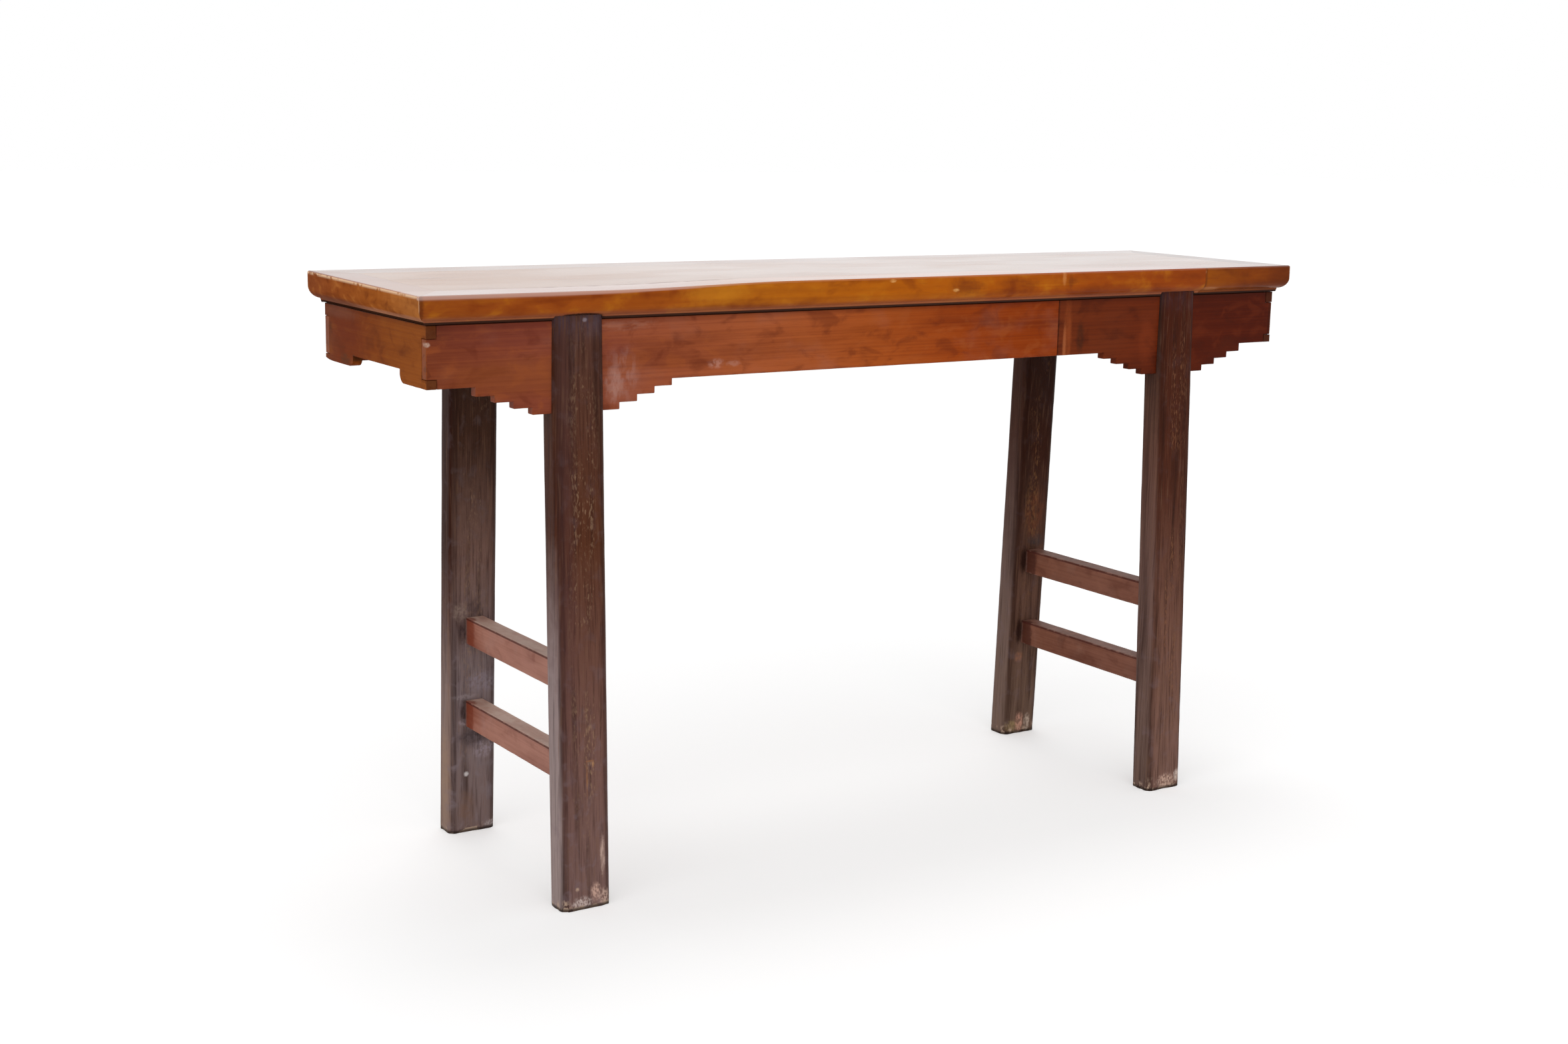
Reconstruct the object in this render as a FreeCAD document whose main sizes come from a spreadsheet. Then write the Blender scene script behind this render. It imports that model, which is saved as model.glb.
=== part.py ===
import FreeCAD, Part
import os
import re
import Sketcher

# A long side table with a framed top, recessed legs that lean out front and back, aprons held
# in slots, the front one with stepped spandrels, and two stretchers between the legs of each end.
# Millimetres, X along the table, the front towards -Y, Z up from the floor.
# The origin lies on the floor under the middle of the table.

doc = FreeCAD.newDocument("altar_table")

# Driving dimensions, one name each
sizes = {
    # The whole table
    "table_height": 850,
    "top_length": 1528,
    "top_width": 384,
    # Framed top
    "top_thickness": 43,
    "stile_width": 62,
    "end_member_width": 50,
    "edge_arris_radius": 3,
    "edge_face_depth": 21,
    "edge_curve_inset": 15,
    "edge_curve_drop": 16.5,
    "edge_curve_radius": 17,
    "edge_lip_inset": 16.5,
    "corner_tenon_thickness": 12,
    "corner_tenon_lift": 11,
    "corner_tenon_setback": 24,
    "corner_tenon_width": 28,
    "corner_tenon_cover": 14,
    "corner_pin_diameter": 6,
    "corner_pin_length": 22,
    "corner_pin_end_distance": 31,
    "corner_pin_side_distance": 45,
    # Splice in the front stile
    "splice_leg_gap": 6,
    "splice_tongue_length": 40,
    "splice_tongue_width": 30,
    # Floating panel of two boards
    "panel_thickness": 16,
    "panel_tongue_thickness": 6,
    "panel_tongue_length": 8,
    "panel_tongue_drop": 6,
    # Battens under the panel
    "batten_width": 36,
    "batten_depth": 19,
    "batten_leg_distance": 173,
    "batten_tenon_length": 14,
    "batten_tenon_height": 11,
    "dovetail_depth": 4,
    "dovetail_neck": 18,
    "dovetail_flare": 2,
    # Legs
    "leg_width": 76,
    "leg_depth": 44,
    "leg_corner_radius": 12,
    "leg_end_distance": 231,
    "leg_top_inset": 33.5,
    "leg_splay": 27,
    "leg_housing_depth": 8.5,
    "leg_tenon_width": 48,
    "leg_tenon_shoulder": 4,
    "leg_tenon_height": 13,
    "leg_front_tenon_thickness": 5,
    # Front and back aprons
    "apron_thickness": 15,
    "apron_face_inset": 19,
    "apron_depth": 86,
    "step_run": 27,
    "step_rise": 9.4,
    "scarf_leg_distance": 240,
    "scarf_lap": 28,
    # End aprons
    "end_apron_thickness": 14,
    "end_apron_face_inset": 17,
    "end_apron_depth": 83,
    "end_arch_rise": 18,
    "lobe_radius": 13,
    "front_lobe_width": 86,
    "back_lobe_width": 101,
    "back_lobe_lift": 3,
    "back_corner_run": 28,
    "back_corner_rise": 3,
    "top_finger_height": 18,
    "bottom_finger_height": 12,
    # Stretchers
    "stretcher_thickness": 28,
    "stretcher_height": 41,
    "lower_stretcher_top": 209,
    "upper_stretcher_top": 337,
    "stretcher_tenon_thickness": 12,
    "stretcher_tenon_height": 27,
    "stretcher_tenon_length": 24,
    # Fits
    "joint_gap": 0.2,
    "apron_top_gap": 0.6,
    "cut_overrun": 10,
}
stepCount = 4

# Sizes worked out from the driving ones
derived = {
    "underside": "table_height - top_thickness",
    "half_length": "top_length / 2",
    "half_width": "top_width / 2",
    "stile_inner": "half_width - stile_width",
    "member_inner": "half_length - end_member_width",
    "mitre_reach": "stile_width + 2 * cut_overrun",
    "mitre_run": "mitre_reach * end_member_width / stile_width",
    "mitre_start": "half_length + cut_overrun * end_member_width / stile_width",
    "tenon_low": "underside + corner_tenon_lift",
    "tenon_high": "tenon_low + corner_tenon_thickness",
    "tenon_outer": "half_width - corner_tenon_setback",
    "tenon_inner": "tenon_outer - corner_tenon_width",
    "tenon_tip": "half_length - corner_tenon_cover",
    "splice_x": "leg_x + leg_width / 2 + splice_leg_gap",
    "groove_high": "table_height - panel_tongue_drop",
    "groove_low": "groove_high - panel_tongue_thickness",
    "panel_underside": "table_height - panel_thickness",
    "leg_x": "half_length - leg_end_distance",
    "leg_top_y": "half_width - leg_top_inset",
    "batten_x": "leg_x - batten_leg_distance",
    "leg_shoulder": "underside + leg_housing_depth",
    "apron_front": "half_width - apron_face_inset",
    "apron_back": "apron_front - apron_thickness",
    "apron_end": "half_length - end_apron_face_inset",
    "apron_high": "underside - apron_top_gap",
    "apron_low": "underside - apron_depth",
    "spandrel_low": f"apron_low - {stepCount} * step_rise",
    "spandrel_end": f"leg_x + leg_width / 2 + {stepCount} * step_run",
    "scarf_place": "leg_x - scarf_leg_distance",
    "finger_high": "underside - top_finger_height",
    "finger_low": "end_apron_low + bottom_finger_height",
    "end_apron_low": "underside - end_apron_depth",
    "leg_back_top": "leg_top_y - leg_depth / 2",
    "rear_tenon_front": "apron_back - leg_tenon_shoulder",
    "rear_tenon_back": "leg_back_top + leg_tenon_shoulder",
    "front_tenon_front": "apron_front + joint_gap + leg_front_tenon_thickness",
    "leg_tenon_high": "leg_shoulder + leg_tenon_height",
    "lean_per_height": "leg_splay / underside",
}

sheet = doc.addObject("Spreadsheet::Sheet", "sizes")
for row, (name, value) in enumerate(sizes.items(), start=1):
    sheet.set("A" + str(row), name)
    sheet.set("B" + str(row), str(value))
    sheet.setAlias("B" + str(row), name)
doc.recompute()


# What a name of a size looks like in a formula
names = r"[a-z]+(_[a-z]+)+|underside"
noGap = "0"


def formula(text):
    # A derived name opens into its own formula, and a driving name into its cell
    def openName(found):
        word = found.group(0)
        if word in derived:
            return "(" + formula(derived[word]) + ")"
        return "sizes." + word
    return re.sub(names, openName, text)


def bind(item, prop, text):
    item.setExpression(prop, formula(text))


def bindPlace(item, x, y, z):
    bind(item, "Placement.Base.x", x)
    bind(item, "Placement.Base.y", y)
    bind(item, "Placement.Base.z", z)


def box(name, x, y, z):
    # Each of x, y and z is a pair of formulas, the low and the high side
    item = doc.addObject("Part::Box", name)
    bindPlace(item, x[0], y[0], z[0])
    bind(item, "Length", f"{x[1]} - ({x[0]})")
    bind(item, "Width", f"{y[1]} - ({y[0]})")
    bind(item, "Height", f"{z[1]} - ({z[0]})")
    return item


def fuse(name, items):
    item = doc.addObject("Part::MultiFuse", name)
    item.Shapes = items
    item.Refine = True
    return item


def cut(name, base, tools):
    item = doc.addObject("Part::Cut", name)
    item.Base = base
    item.Tool = tools[0] if len(tools) == 1 else fuse(name + "_tools", tools)
    item.Refine = True
    return item


def mirror(name, source, normal):
    item = doc.addObject("Part::Mirroring", name)
    item.Source = source
    item.Normal = normal
    return item


alongX = FreeCAD.Vector(1, 0, 0)
alongY = FreeCAD.Vector(0, 1, 0)
# A sketch on the side plane has Y to its right and Z up, and one on the front plane X and Z
planes = {
    "top": FreeCAD.Rotation(),
    "side": FreeCAD.Rotation(FreeCAD.Vector(1, 1, 1), 120),
    "front": FreeCAD.Rotation(alongX, 90),
}


def sketchOn(name, plane, x, y, z):
    sketch = doc.addObject("Sketcher::SketchObject", name)
    sketch.Placement = FreeCAD.Placement(FreeCAD.Vector(), planes[plane])
    bindPlace(sketch, x, y, z)
    return sketch


def pull(name, sketch, x, y, z):
    # Draws the sketch out along the vector of three formulas
    item = doc.addObject("Part::Extrusion", name)
    item.Base = sketch
    item.DirMode = "Custom"
    bind(item, "Dir.x", x)
    bind(item, "Dir.y", y)
    bind(item, "Dir.z", z)
    item.Solid = True
    return item


def number(text):
    # What a formula of the named sizes comes to, for where a sketch starts from
    def openName(found):
        word = found.group(0)
        if word in derived:
            return str(number(derived[word]))
        return str(sizes[word])
    return float(FreeCAD.Units.Quantity(re.sub(names, openName, text)).Value)


def outline(name, plane, place, points, arcs=None):
    # A closed sketch. Each corner is a pair of formulas from the sketch's own origin, and
    # arcs gives the radius of the side that starts at a corner, with 1 where it bulges outwards
    # of an anticlockwise outline and -1 where it hollows.
    arcs = arcs or {}
    sketch = sketchOn(name, plane, *place)
    spots = [FreeCAD.Vector(number(x), number(y), 0) for x, y in points]
    ends = []
    for side, start in enumerate(spots):
        end = spots[(side + 1) % len(spots)]
        if side not in arcs:
            sketch.addGeometry(Part.LineSegment(start, end))
            ends.append((1, 2))
            continue
        radius, bulge = number(arcs[side][0]), arcs[side][1]
        chord = end - start
        rise = radius - (radius ** 2 - (chord.Length / 2) ** 2) ** 0.5
        outwards = FreeCAD.Vector(chord.y, -chord.x, 0).normalize()
        middle = (start + end) / 2 + outwards * rise * bulge
        # A sketch holds arcs anticlockwise, so a hollow one runs from its end to its start
        spread = (start, middle, end) if bulge > 0 else (end, middle, start)
        sketch.addGeometry(Part.Arc(*spread))
        ends.append((1, 2) if bulge > 0 else (2, 1))
    for side, (x, y) in enumerate(points):
        following = (side + 1) % len(points)
        sketch.addConstraint(
            Sketcher.Constraint("Coincident", side, ends[side][1], following, ends[following][0])
        )
        ways = (("DistanceX", -2, x, spots[side].x), ("DistanceY", -1, y, spots[side].y))
        for kind, axis, text, value in ways:
            if text == "0":
                sketch.addConstraint(Sketcher.Constraint("PointOnObject", side, ends[side][0], axis))
                continue
            index = sketch.addConstraint(Sketcher.Constraint(kind, -1, 1, side, ends[side][0], value))
            bind(sketch, f"Constraints[{index}]", text)
        if side in arcs:
            index = sketch.addConstraint(Sketcher.Constraint("Radius", side, number(arcs[side][0])))
            bind(sketch, f"Constraints[{index}]", arcs[side][0])
    return sketch


def edgeOutline(name, plane, place, width):
    # The moulded section of a frame member: a soft arris, an upright face, a curve running in
    # below it and a narrow lip, with the panel's side straight
    high = "top_thickness - edge_face_depth"
    low = "top_thickness - edge_face_depth - edge_curve_drop"
    points = [
        ("edge_lip_inset", "0"),
        (width, "0"),
        (width, "top_thickness"),
        ("edge_arris_radius", "top_thickness"),
        ("0", "top_thickness - edge_arris_radius"),
        ("0", high),
        ("edge_curve_inset", low),
    ]
    arcs = {3: ("edge_arris_radius", 1), 5: ("edge_curve_radius", 1)}
    return outline(name, plane, place, points, arcs)


def mitreTool(name, points):
    # A three-cornered block whose long side is the mitre of the front left corner
    place = ("-mitre_start", "-half_width - cut_overrun", "underside - cut_overrun")
    sketch = outline(name + "_sketch", "top", place, points)
    return pull(name, sketch, "0", "0", "top_thickness + 2 * cut_overrun")


def cornerTenon(name, gap):
    return box(
        name,
        (f"-tenon_tip - {gap}", "-member_inner + cut_overrun"),
        (f"-tenon_outer - {gap}", f"-tenon_inner + {gap}"),
        (f"tenon_low - {gap}", f"tenon_high + {gap}"),
    )


def cornerPin(name, gap):
    item = doc.addObject("Part::Cylinder", name)
    along = "-half_length + corner_pin_end_distance"
    bindPlace(item, along, "-half_width + corner_pin_side_distance", "underside")
    bind(item, "Radius", f"corner_pin_diameter / 2 + {gap}")
    bind(item, "Height", f"corner_pin_length + {gap}")
    return item


def legSection(name, gap, low, high):
    # The leg's rounded section drawn up along its lean, between two heights, grown by a gap
    places = (
        f"-leg_x - leg_width / 2 - {gap}",
        f"-leg_top_y - (underside - ({low})) * lean_per_height - leg_depth / 2 - {gap}",
        low,
    )
    radius = f"leg_corner_radius + {gap}"
    across = f"leg_width + 2 * {gap}"
    deep = f"leg_depth + 2 * {gap}"
    points = [
        (radius, "0"),
        (f"{across} - ({radius})", "0"),
        (across, radius),
        (across, f"{deep} - ({radius})"),
        (f"{across} - ({radius})", deep),
        (radius, deep),
        ("0", f"{deep} - ({radius})"),
        ("0", radius),
    ]
    arcs = {side: (radius, 1) for side in range(1, len(points), 2)}
    sketch = outline(name + "_sketch", "top", places, points, arcs)
    return pull(name, sketch, "0", f"({high} - ({low})) * lean_per_height", f"{high} - ({low})")


def legTenons(name, gap):
    # The thin tenon on the leg's cheek in front of the slot, and the thick one behind it
    across = (f"-leg_x - leg_tenon_width / 2 - {gap}", f"-leg_x + leg_tenon_width / 2 + {gap}")
    up = ("underside", f"leg_tenon_high + {gap}")
    front = (f"-front_tenon_front - {gap}", f"-apron_front - joint_gap + {gap}")
    rear = (f"-rear_tenon_front - {gap}", f"-rear_tenon_back + {gap}")
    return [box(name + "_front", across, front, up), box(name + "_rear", across, rear, up)]


def stretcherHeights(top):
    # The lowest, highest and middle heights of a stretcher, and the legs' inner faces there
    low = f"({top} - stretcher_height)"
    middle = f"({top} - stretcher_height / 2)"
    inner = {
        name: f"(leg_back_top + (underside - {height}) * lean_per_height)"
        for name, height in (("low", low), ("top", top), ("middle", middle))
    }
    return low, middle, inner


def stretcherTenon(name, top, gap):
    low, middle, inner = stretcherHeights(top)
    reach = f"({inner['middle']} + stretcher_tenon_length + {gap})"
    side = f"(stretcher_tenon_thickness / 2 + {gap})"
    rise = f"(stretcher_tenon_height / 2 + {gap})"
    across = (f"-leg_x - {side}", f"-leg_x + {side}")
    return box(name, across, (f"-{reach}", reach), (f"{middle} - {rise}", f"{middle} + {rise}"))


def dovetail(name, x, gap):
    # The key of a batten, wider at its top, which slides in a groove under the panel
    neck = f"(dovetail_neck + 2 * {gap})"
    place = (f"{x} - {neck} / 2 - dovetail_flare", "-stile_inner + joint_gap", "panel_underside")
    points = [
        ("dovetail_flare", "0"),
        (f"dovetail_flare + {neck}", "0"),
        (f"2 * dovetail_flare + {neck}", f"dovetail_depth + {gap}"),
        ("0", f"dovetail_depth + {gap}"),
    ]
    sketch = outline(name + "_sketch", "front", place, points)
    return pull(name, sketch, "0", "2 * (stile_inner - joint_gap)", "0")


def battenTenon(name, x, gap):
    middle = "(panel_underside - batten_depth / 2)"
    reach = f"(stile_inner + batten_tenon_length + {gap})"
    return box(
        name,
        (f"{x} - batten_width / 2 - {gap}", f"{x} + batten_width / 2 + {gap}"),
        (f"-{reach}", reach),
        (f"{middle} - batten_tenon_height / 2 - {gap}", f"{middle} + batten_tenon_height / 2 + {gap}"),
    )


# The battens' places along the table, and the stretchers' tops
battens = {"left_batten": "-batten_x", "middle_batten": "0", "right_batten": "batten_x"}
stretchers = {"lower_stretcher": "lower_stretcher_top", "upper_stretcher": "upper_stretcher_top"}
parts = {}


def makeStiles():
    # The two long members of the top frame. The front one ends in a spliced piece at the right.
    corner = ("-half_length", "-half_width", "underside")
    section = edgeOutline("stile_section", "side", corner, "stile_width")
    blank = pull("stile_blank", section, "top_length", "0", "0")
    mitre = mitreTool("stile_mitre", [("0", "0"), ("mitre_run", "mitre_reach"), ("0", "mitre_reach")])
    groove = box(
        "stile_groove",
        ("-half_length - cut_overrun", "half_length + cut_overrun"),
        ("-stile_inner - panel_tongue_length - joint_gap", "-stile_inner + cut_overrun"),
        ("groove_low - joint_gap", "groove_high + joint_gap"),
    )
    strip = box(
        "stile_strip",
        ("-half_length", "0"),
        ("-apron_front", "-apron_back"),
        ("underside - 2 * cut_overrun", "table_height"),
    )
    housingLow = "underside - cut_overrun"
    housing = legSection("leg_housing", "joint_gap", housingLow, "leg_shoulder + joint_gap")
    seat = cut("leg_seat", housing, [strip])
    sockets = [seat] + legTenons("leg_socket", "joint_gap")
    mirrored = [mirror(item.Name + "_right", item, alongX) for item in [mitre] + sockets]
    tools = [mitre, groove] + sockets + mirrored
    tools += [battenTenon(name + "_socket", x, "joint_gap") for name, x in battens.items()]
    tenon = cornerTenon("corner_tenon", noGap)
    tenons = [tenon, mirror("corner_tenon_right", tenon, alongX)]
    pinHole = cornerPin("corner_pin_hole", "joint_gap")
    pinHoles = [pinHole, mirror("corner_pin_hole_right", pinHole, alongX)]
    grown = fuse("stile_with_tenons", [cut("stile_cut", blank, tools)] + tenons)
    whole = cut("stile_whole", grown, pinHoles)
    parts["back_stile"] = mirror("back_stile", whole, alongY)

    deep = ("-half_width - cut_overrun", "0")
    tall = ("underside - cut_overrun", "table_height + cut_overrun")
    spliceEnd = box("splice_end", ("splice_x", "half_length + cut_overrun"), deep, tall)
    spliceRest = box("splice_rest", ("-half_length - cut_overrun", "splice_x + joint_gap"), deep, tall)
    tongues = []
    for name, gap in (("splice_tongue", noGap), ("splice_socket", "joint_gap")):
        across = (f"-tenon_outer - {gap}", f"-tenon_outer + splice_tongue_width + {gap}")
        up = (f"tenon_low - {gap}", f"tenon_high + {gap}")
        along = ("splice_x - cut_overrun", f"splice_x + splice_tongue_length + {gap}")
        tongues.append(box(name, along, across, up))
    parts["front_stile"] = fuse("front_stile", [cut("front_stile_cut", whole, [spliceEnd]), tongues[0]])
    parts["front_stile_splice"] = cut("front_stile_splice", whole, [spliceRest, tongues[1]])


def makeEndMembers():
    # The two short members, mitred to the stiles and mortised for their tenons
    corner = ("-half_length", "-half_width", "underside")
    section = edgeOutline("member_section", "front", corner, "end_member_width")
    blank = pull("member_blank", section, "0", "top_width", "0")
    mitre = mitreTool("member_mitre", [("0", "0"), ("mitre_run", "0"), ("mitre_run", "mitre_reach")])
    mortise = cornerTenon("corner_mortise", "joint_gap")
    pinHole = cornerPin("member_pin_hole", "joint_gap")
    groove = box(
        "member_groove",
        ("-member_inner - panel_tongue_length - joint_gap", "-member_inner + cut_overrun"),
        ("-half_width - cut_overrun", "half_width + cut_overrun"),
        ("groove_low - joint_gap", "groove_high + joint_gap"),
    )
    front = [mitre, mortise, pinHole]
    back = [mirror(item.Name + "_back", item, alongY) for item in front]
    parts["left_end_member"] = cut("left_end_member", blank, front + back + [groove])
    parts["right_end_member"] = mirror("right_end_member", parts["left_end_member"], alongX)


def makeCornerPins():
    pins = [cornerPin("corner_pin", noGap)]
    pins.append(mirror("corner_pin_right", pins[0], alongX))
    pins += [mirror(pin.Name + "_back", pin, alongY) for pin in pins]
    group = doc.addObject("Part::Compound", "corner_pins")
    group.Links = pins
    parts["corner_pins"] = group


def makePanel():
    # Two boards joined along the middle, their tongues loose in the frame's grooves
    across = ("-member_inner + joint_gap", "member_inner - joint_gap")
    tongueAcross = ("-member_inner - panel_tongue_length", "member_inner + panel_tongue_length")
    up = ("panel_underside", "table_height")
    tongueUp = ("groove_low", "groove_high")
    grooves = [dovetail(name + "_groove", x, "joint_gap") for name, x in battens.items()]
    body = box("front_board_body", across, ("-stile_inner + joint_gap", "-joint_gap / 2"), up)
    tongue = box(
        "front_board_tongue",
        tongueAcross,
        ("-stile_inner - panel_tongue_length", "panel_tongue_length"),
        tongueUp,
    )
    parts["front_panel_board"] = cut("front_panel_board", fuse("front_board", [body, tongue]), grooves)
    body = box("back_board_body", across, ("joint_gap / 2", "stile_inner - joint_gap"), up)
    tongue = box(
        "back_board_tongue",
        tongueAcross,
        ("joint_gap / 2", "stile_inner + panel_tongue_length"),
        tongueUp,
    )
    slot = box(
        "back_board_slot",
        ("-half_length", "half_length"),
        ("-cut_overrun", "panel_tongue_length + joint_gap"),
        ("groove_low - joint_gap", "groove_high + joint_gap"),
    )
    board = fuse("back_board", [body, tongue])
    parts["back_panel_board"] = cut("back_panel_board", board, grooves + [slot])


def makeBattens():
    for name, x in battens.items():
        body = box(
            name + "_body",
            (f"{x} - batten_width / 2", f"{x} + batten_width / 2"),
            ("-stile_inner + joint_gap", "stile_inner - joint_gap"),
            ("panel_underside - batten_depth", "panel_underside"),
        )
        key = dovetail(name + "_key", x, noGap)
        parts[name] = fuse(name, [body, key, battenTenon(name + "_tenon", x, noGap)])


def slottedLeg(name, blank, mortises, low):
    # The leg astride its apron, whose lower edge the slot goes down to
    slot = box(
        name + "_slot",
        ("-leg_x - leg_width", "-leg_x + leg_width"),
        ("-apron_front - joint_gap", "-apron_back + joint_gap"),
        (f"{low} - joint_gap", "table_height"),
    )
    return cut(name, blank, [slot] + mortises)


def makeLegs():
    # One leg, mortised for the stretchers, with a deep slot for the front apron's spandrel or a
    # shallower one for the plain back apron, and the mirrors of both
    section = legSection("leg_blank", noGap, "0", "leg_shoulder")
    blank = fuse("leg_with_tenons", [section] + legTenons("leg_tenon", noGap))
    mortises = [stretcherTenon(name + "_mortise", top, "joint_gap") for name, top in stretchers.items()]
    front = slottedLeg("front_left_leg", blank, mortises, "spandrel_low")
    back = mirror("back_left_leg", slottedLeg("plain_slot_leg", blank, mortises, "apron_low"), alongY)
    parts["front_left_leg"] = front
    parts["front_right_leg"] = mirror("front_right_leg", front, alongX)
    parts["back_left_leg"] = back
    parts["back_right_leg"] = mirror("back_right_leg", back, alongX)


def makeStretchers():
    # Shouldered to the lean of the legs, with one tenon at each end
    for name, top in stretchers.items():
        low, middle, inner = stretcherHeights(top)
        place = ("-leg_x - stretcher_thickness / 2", f"-{inner['low']} + joint_gap", low)
        points = [
            ("0", "0"),
            (f"2 * ({inner['low']} - joint_gap)", "0"),
            (f"{inner['low']} + {inner['top']} - 2 * joint_gap", "stretcher_height"),
            (f"{inner['low']} - {inner['top']}", "stretcher_height"),
        ]
        sketch = outline(name + "_sketch", "side", place, points)
        rail = pull(name + "_rail", sketch, "stretcher_thickness", "0", "0")
        left = fuse("left_" + name, [rail, stretcherTenon(name + "_tenon", top, noGap)])
        parts["left_" + name] = left
        parts["right_" + name] = mirror("right_" + name, left, alongX)


def spandrel(name):
    # The apron's stepped drop at the left leg, a box for each step, the lowest one the shortest
    steps = []
    for step in range(stepCount):
        half = f"(leg_width / 2 + {step + 1} * step_run)"
        low = f"apron_low - {stepCount - step} * step_rise"
        across = (f"-leg_x - {half}", f"-leg_x + {half}")
        deep = ("-apron_front", "-apron_back")
        steps.append(box(f"{name}_step_{step + 1}", across, deep, (low, "apron_high")))
    return steps


def makeAprons():
    # The front apron is two boards with stepped spandrels, lapped in the middle of their
    # thickness, and the back one is a plain whole board
    steps = spandrel("left")
    rightSteps = [mirror(item.Name + "_right", item, alongX) for item in steps]
    deep = ("-apron_front", "-apron_back")
    rear = ("-apron_front + apron_thickness / 2", "-apron_back")
    up = ("apron_low", "apron_high")
    # Notches for the end apron's fingers, and the shallower stretch out beyond the spandrel
    atFingers = ("-apron_end - cut_overrun", "-apron_end + end_apron_thickness + joint_gap")
    beyond = ("-apron_end - cut_overrun", "-spandrel_end")
    through = ("-apron_front - cut_overrun", "-apron_back + cut_overrun")
    below = "apron_low - cut_overrun"
    above = "underside + cut_overrun"
    notches = [
        box("top_notch", atFingers, through, ("finger_high - joint_gap", above)),
        box("bottom_notch", atFingers, through, (below, "finger_low + joint_gap")),
        box("end_trim", beyond, through, (below, "end_apron_low")),
    ]
    rightNotches = [mirror(item.Name + "_right", item, alongX) for item in notches]

    left = box("front_apron_left", ("-apron_end", "scarf_place"), deep, up)
    lap = box("scarf_lap_tongue", ("scarf_place - cut_overrun", "scarf_place + scarf_lap"), rear, up)
    leftRun = fuse("front_left_run", [left, lap] + steps)
    parts["front_apron_left_board"] = cut("front_apron_left_board", leftRun, notches)
    right = box("front_apron_right", ("scarf_place + joint_gap", "apron_end"), deep, up)
    lapSeat = box(
        "scarf_lap_seat",
        ("scarf_place - cut_overrun", "scarf_place + scarf_lap + joint_gap"),
        ("-apron_front + apron_thickness / 2 - joint_gap", "-apron_back + cut_overrun"),
        (below, above),
    )
    rightRun = fuse("front_right_run", [right] + rightSteps)
    rightTools = rightNotches + [lapSeat]
    parts["front_apron_right_board"] = cut("front_apron_right_board", rightRun, rightTools)
    whole = box("back_apron_board", ("-apron_end", "apron_end"), deep, up)
    plain = cut("back_apron_cut", whole, notches + rightNotches)
    parts["back_apron"] = mirror("back_apron", plain, alongY)


def makeEndAprons():
    # A shallow arch between two round-cornered lobes, the back one a little higher and curving
    # up to the corner, with square fingers at both ends that pass through the long aprons
    across = "(2 * apron_front)"
    high = "end_apron_depth - apron_top_gap"
    cornerCurve = "(back_corner_run ^ 2 + back_corner_rise ^ 2) / (2 * back_corner_rise)"
    points = [
        ("0", "0"),
        ("front_lobe_width - lobe_radius", "0"),
        ("front_lobe_width", "lobe_radius"),
        ("front_lobe_width", "end_arch_rise"),
        (f"{across} - back_lobe_width", "end_arch_rise"),
        (f"{across} - back_lobe_width", "back_lobe_lift + lobe_radius"),
        (f"{across} - back_lobe_width + lobe_radius", "back_lobe_lift"),
        (f"{across} - back_corner_run", "back_lobe_lift"),
        (across, "back_lobe_lift + back_corner_rise"),
        (across, high),
        ("0", high),
    ]
    arcs = {1: ("lobe_radius", 1), 5: ("lobe_radius", 1), 7: (cornerCurve, 1)}
    corner = ("-apron_end", "-apron_front", "end_apron_low")
    sketch = outline("end_apron_outline", "side", corner, points, arcs)
    blank = pull("end_apron_blank", sketch, "end_apron_thickness", "0", "0")
    seat = box(
        "end_apron_seat",
        ("-apron_end - cut_overrun", "-apron_end + end_apron_thickness + cut_overrun"),
        ("-apron_front - cut_overrun", "-apron_back + joint_gap"),
        ("finger_low", "finger_high"),
    )
    seats = [seat, mirror("end_apron_seat_back", seat, alongY)]
    parts["left_end_apron"] = cut("left_end_apron", blank, seats)
    parts["right_end_apron"] = mirror("right_end_apron", parts["left_end_apron"], alongX)


def writeParts():
    doc.recompute()
    for item in doc.Objects:
        if "Invalid" in item.State or "Error" in item.State:
            raise RuntimeError(item.Name + " failed to build")
    os.makedirs("parts", exist_ok=True)
    for name, item in parts.items():
        item.Label = name
        if item.Shape.isNull() or not item.Shape.isValid() or not item.Shape.Solids:
            raise RuntimeError(name + " has no valid solid")
        item.Shape.exportStep(os.path.join("parts", name + ".step"))
        reach = item.Shape.BoundBox
        print(name, len(item.Shape.Solids), "solid, volume", round(item.Shape.Volume), "mm3")
        lowest = [round(value, 1) for value in (reach.XMin, reach.YMin, reach.ZMin)]
        highest = [round(value, 1) for value in (reach.XMax, reach.YMax, reach.ZMax)]
        print("    from", lowest, "to", highest)


makeStiles()
makeEndMembers()
makeCornerPins()
makePanel()
makeBattens()
makeLegs()
makeStretchers()
makeAprons()
makeEndAprons()
writeParts()
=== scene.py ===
import math
import bpy
import bmesh
import numpy as np
from mathutils import Matrix, Vector, noise


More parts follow.
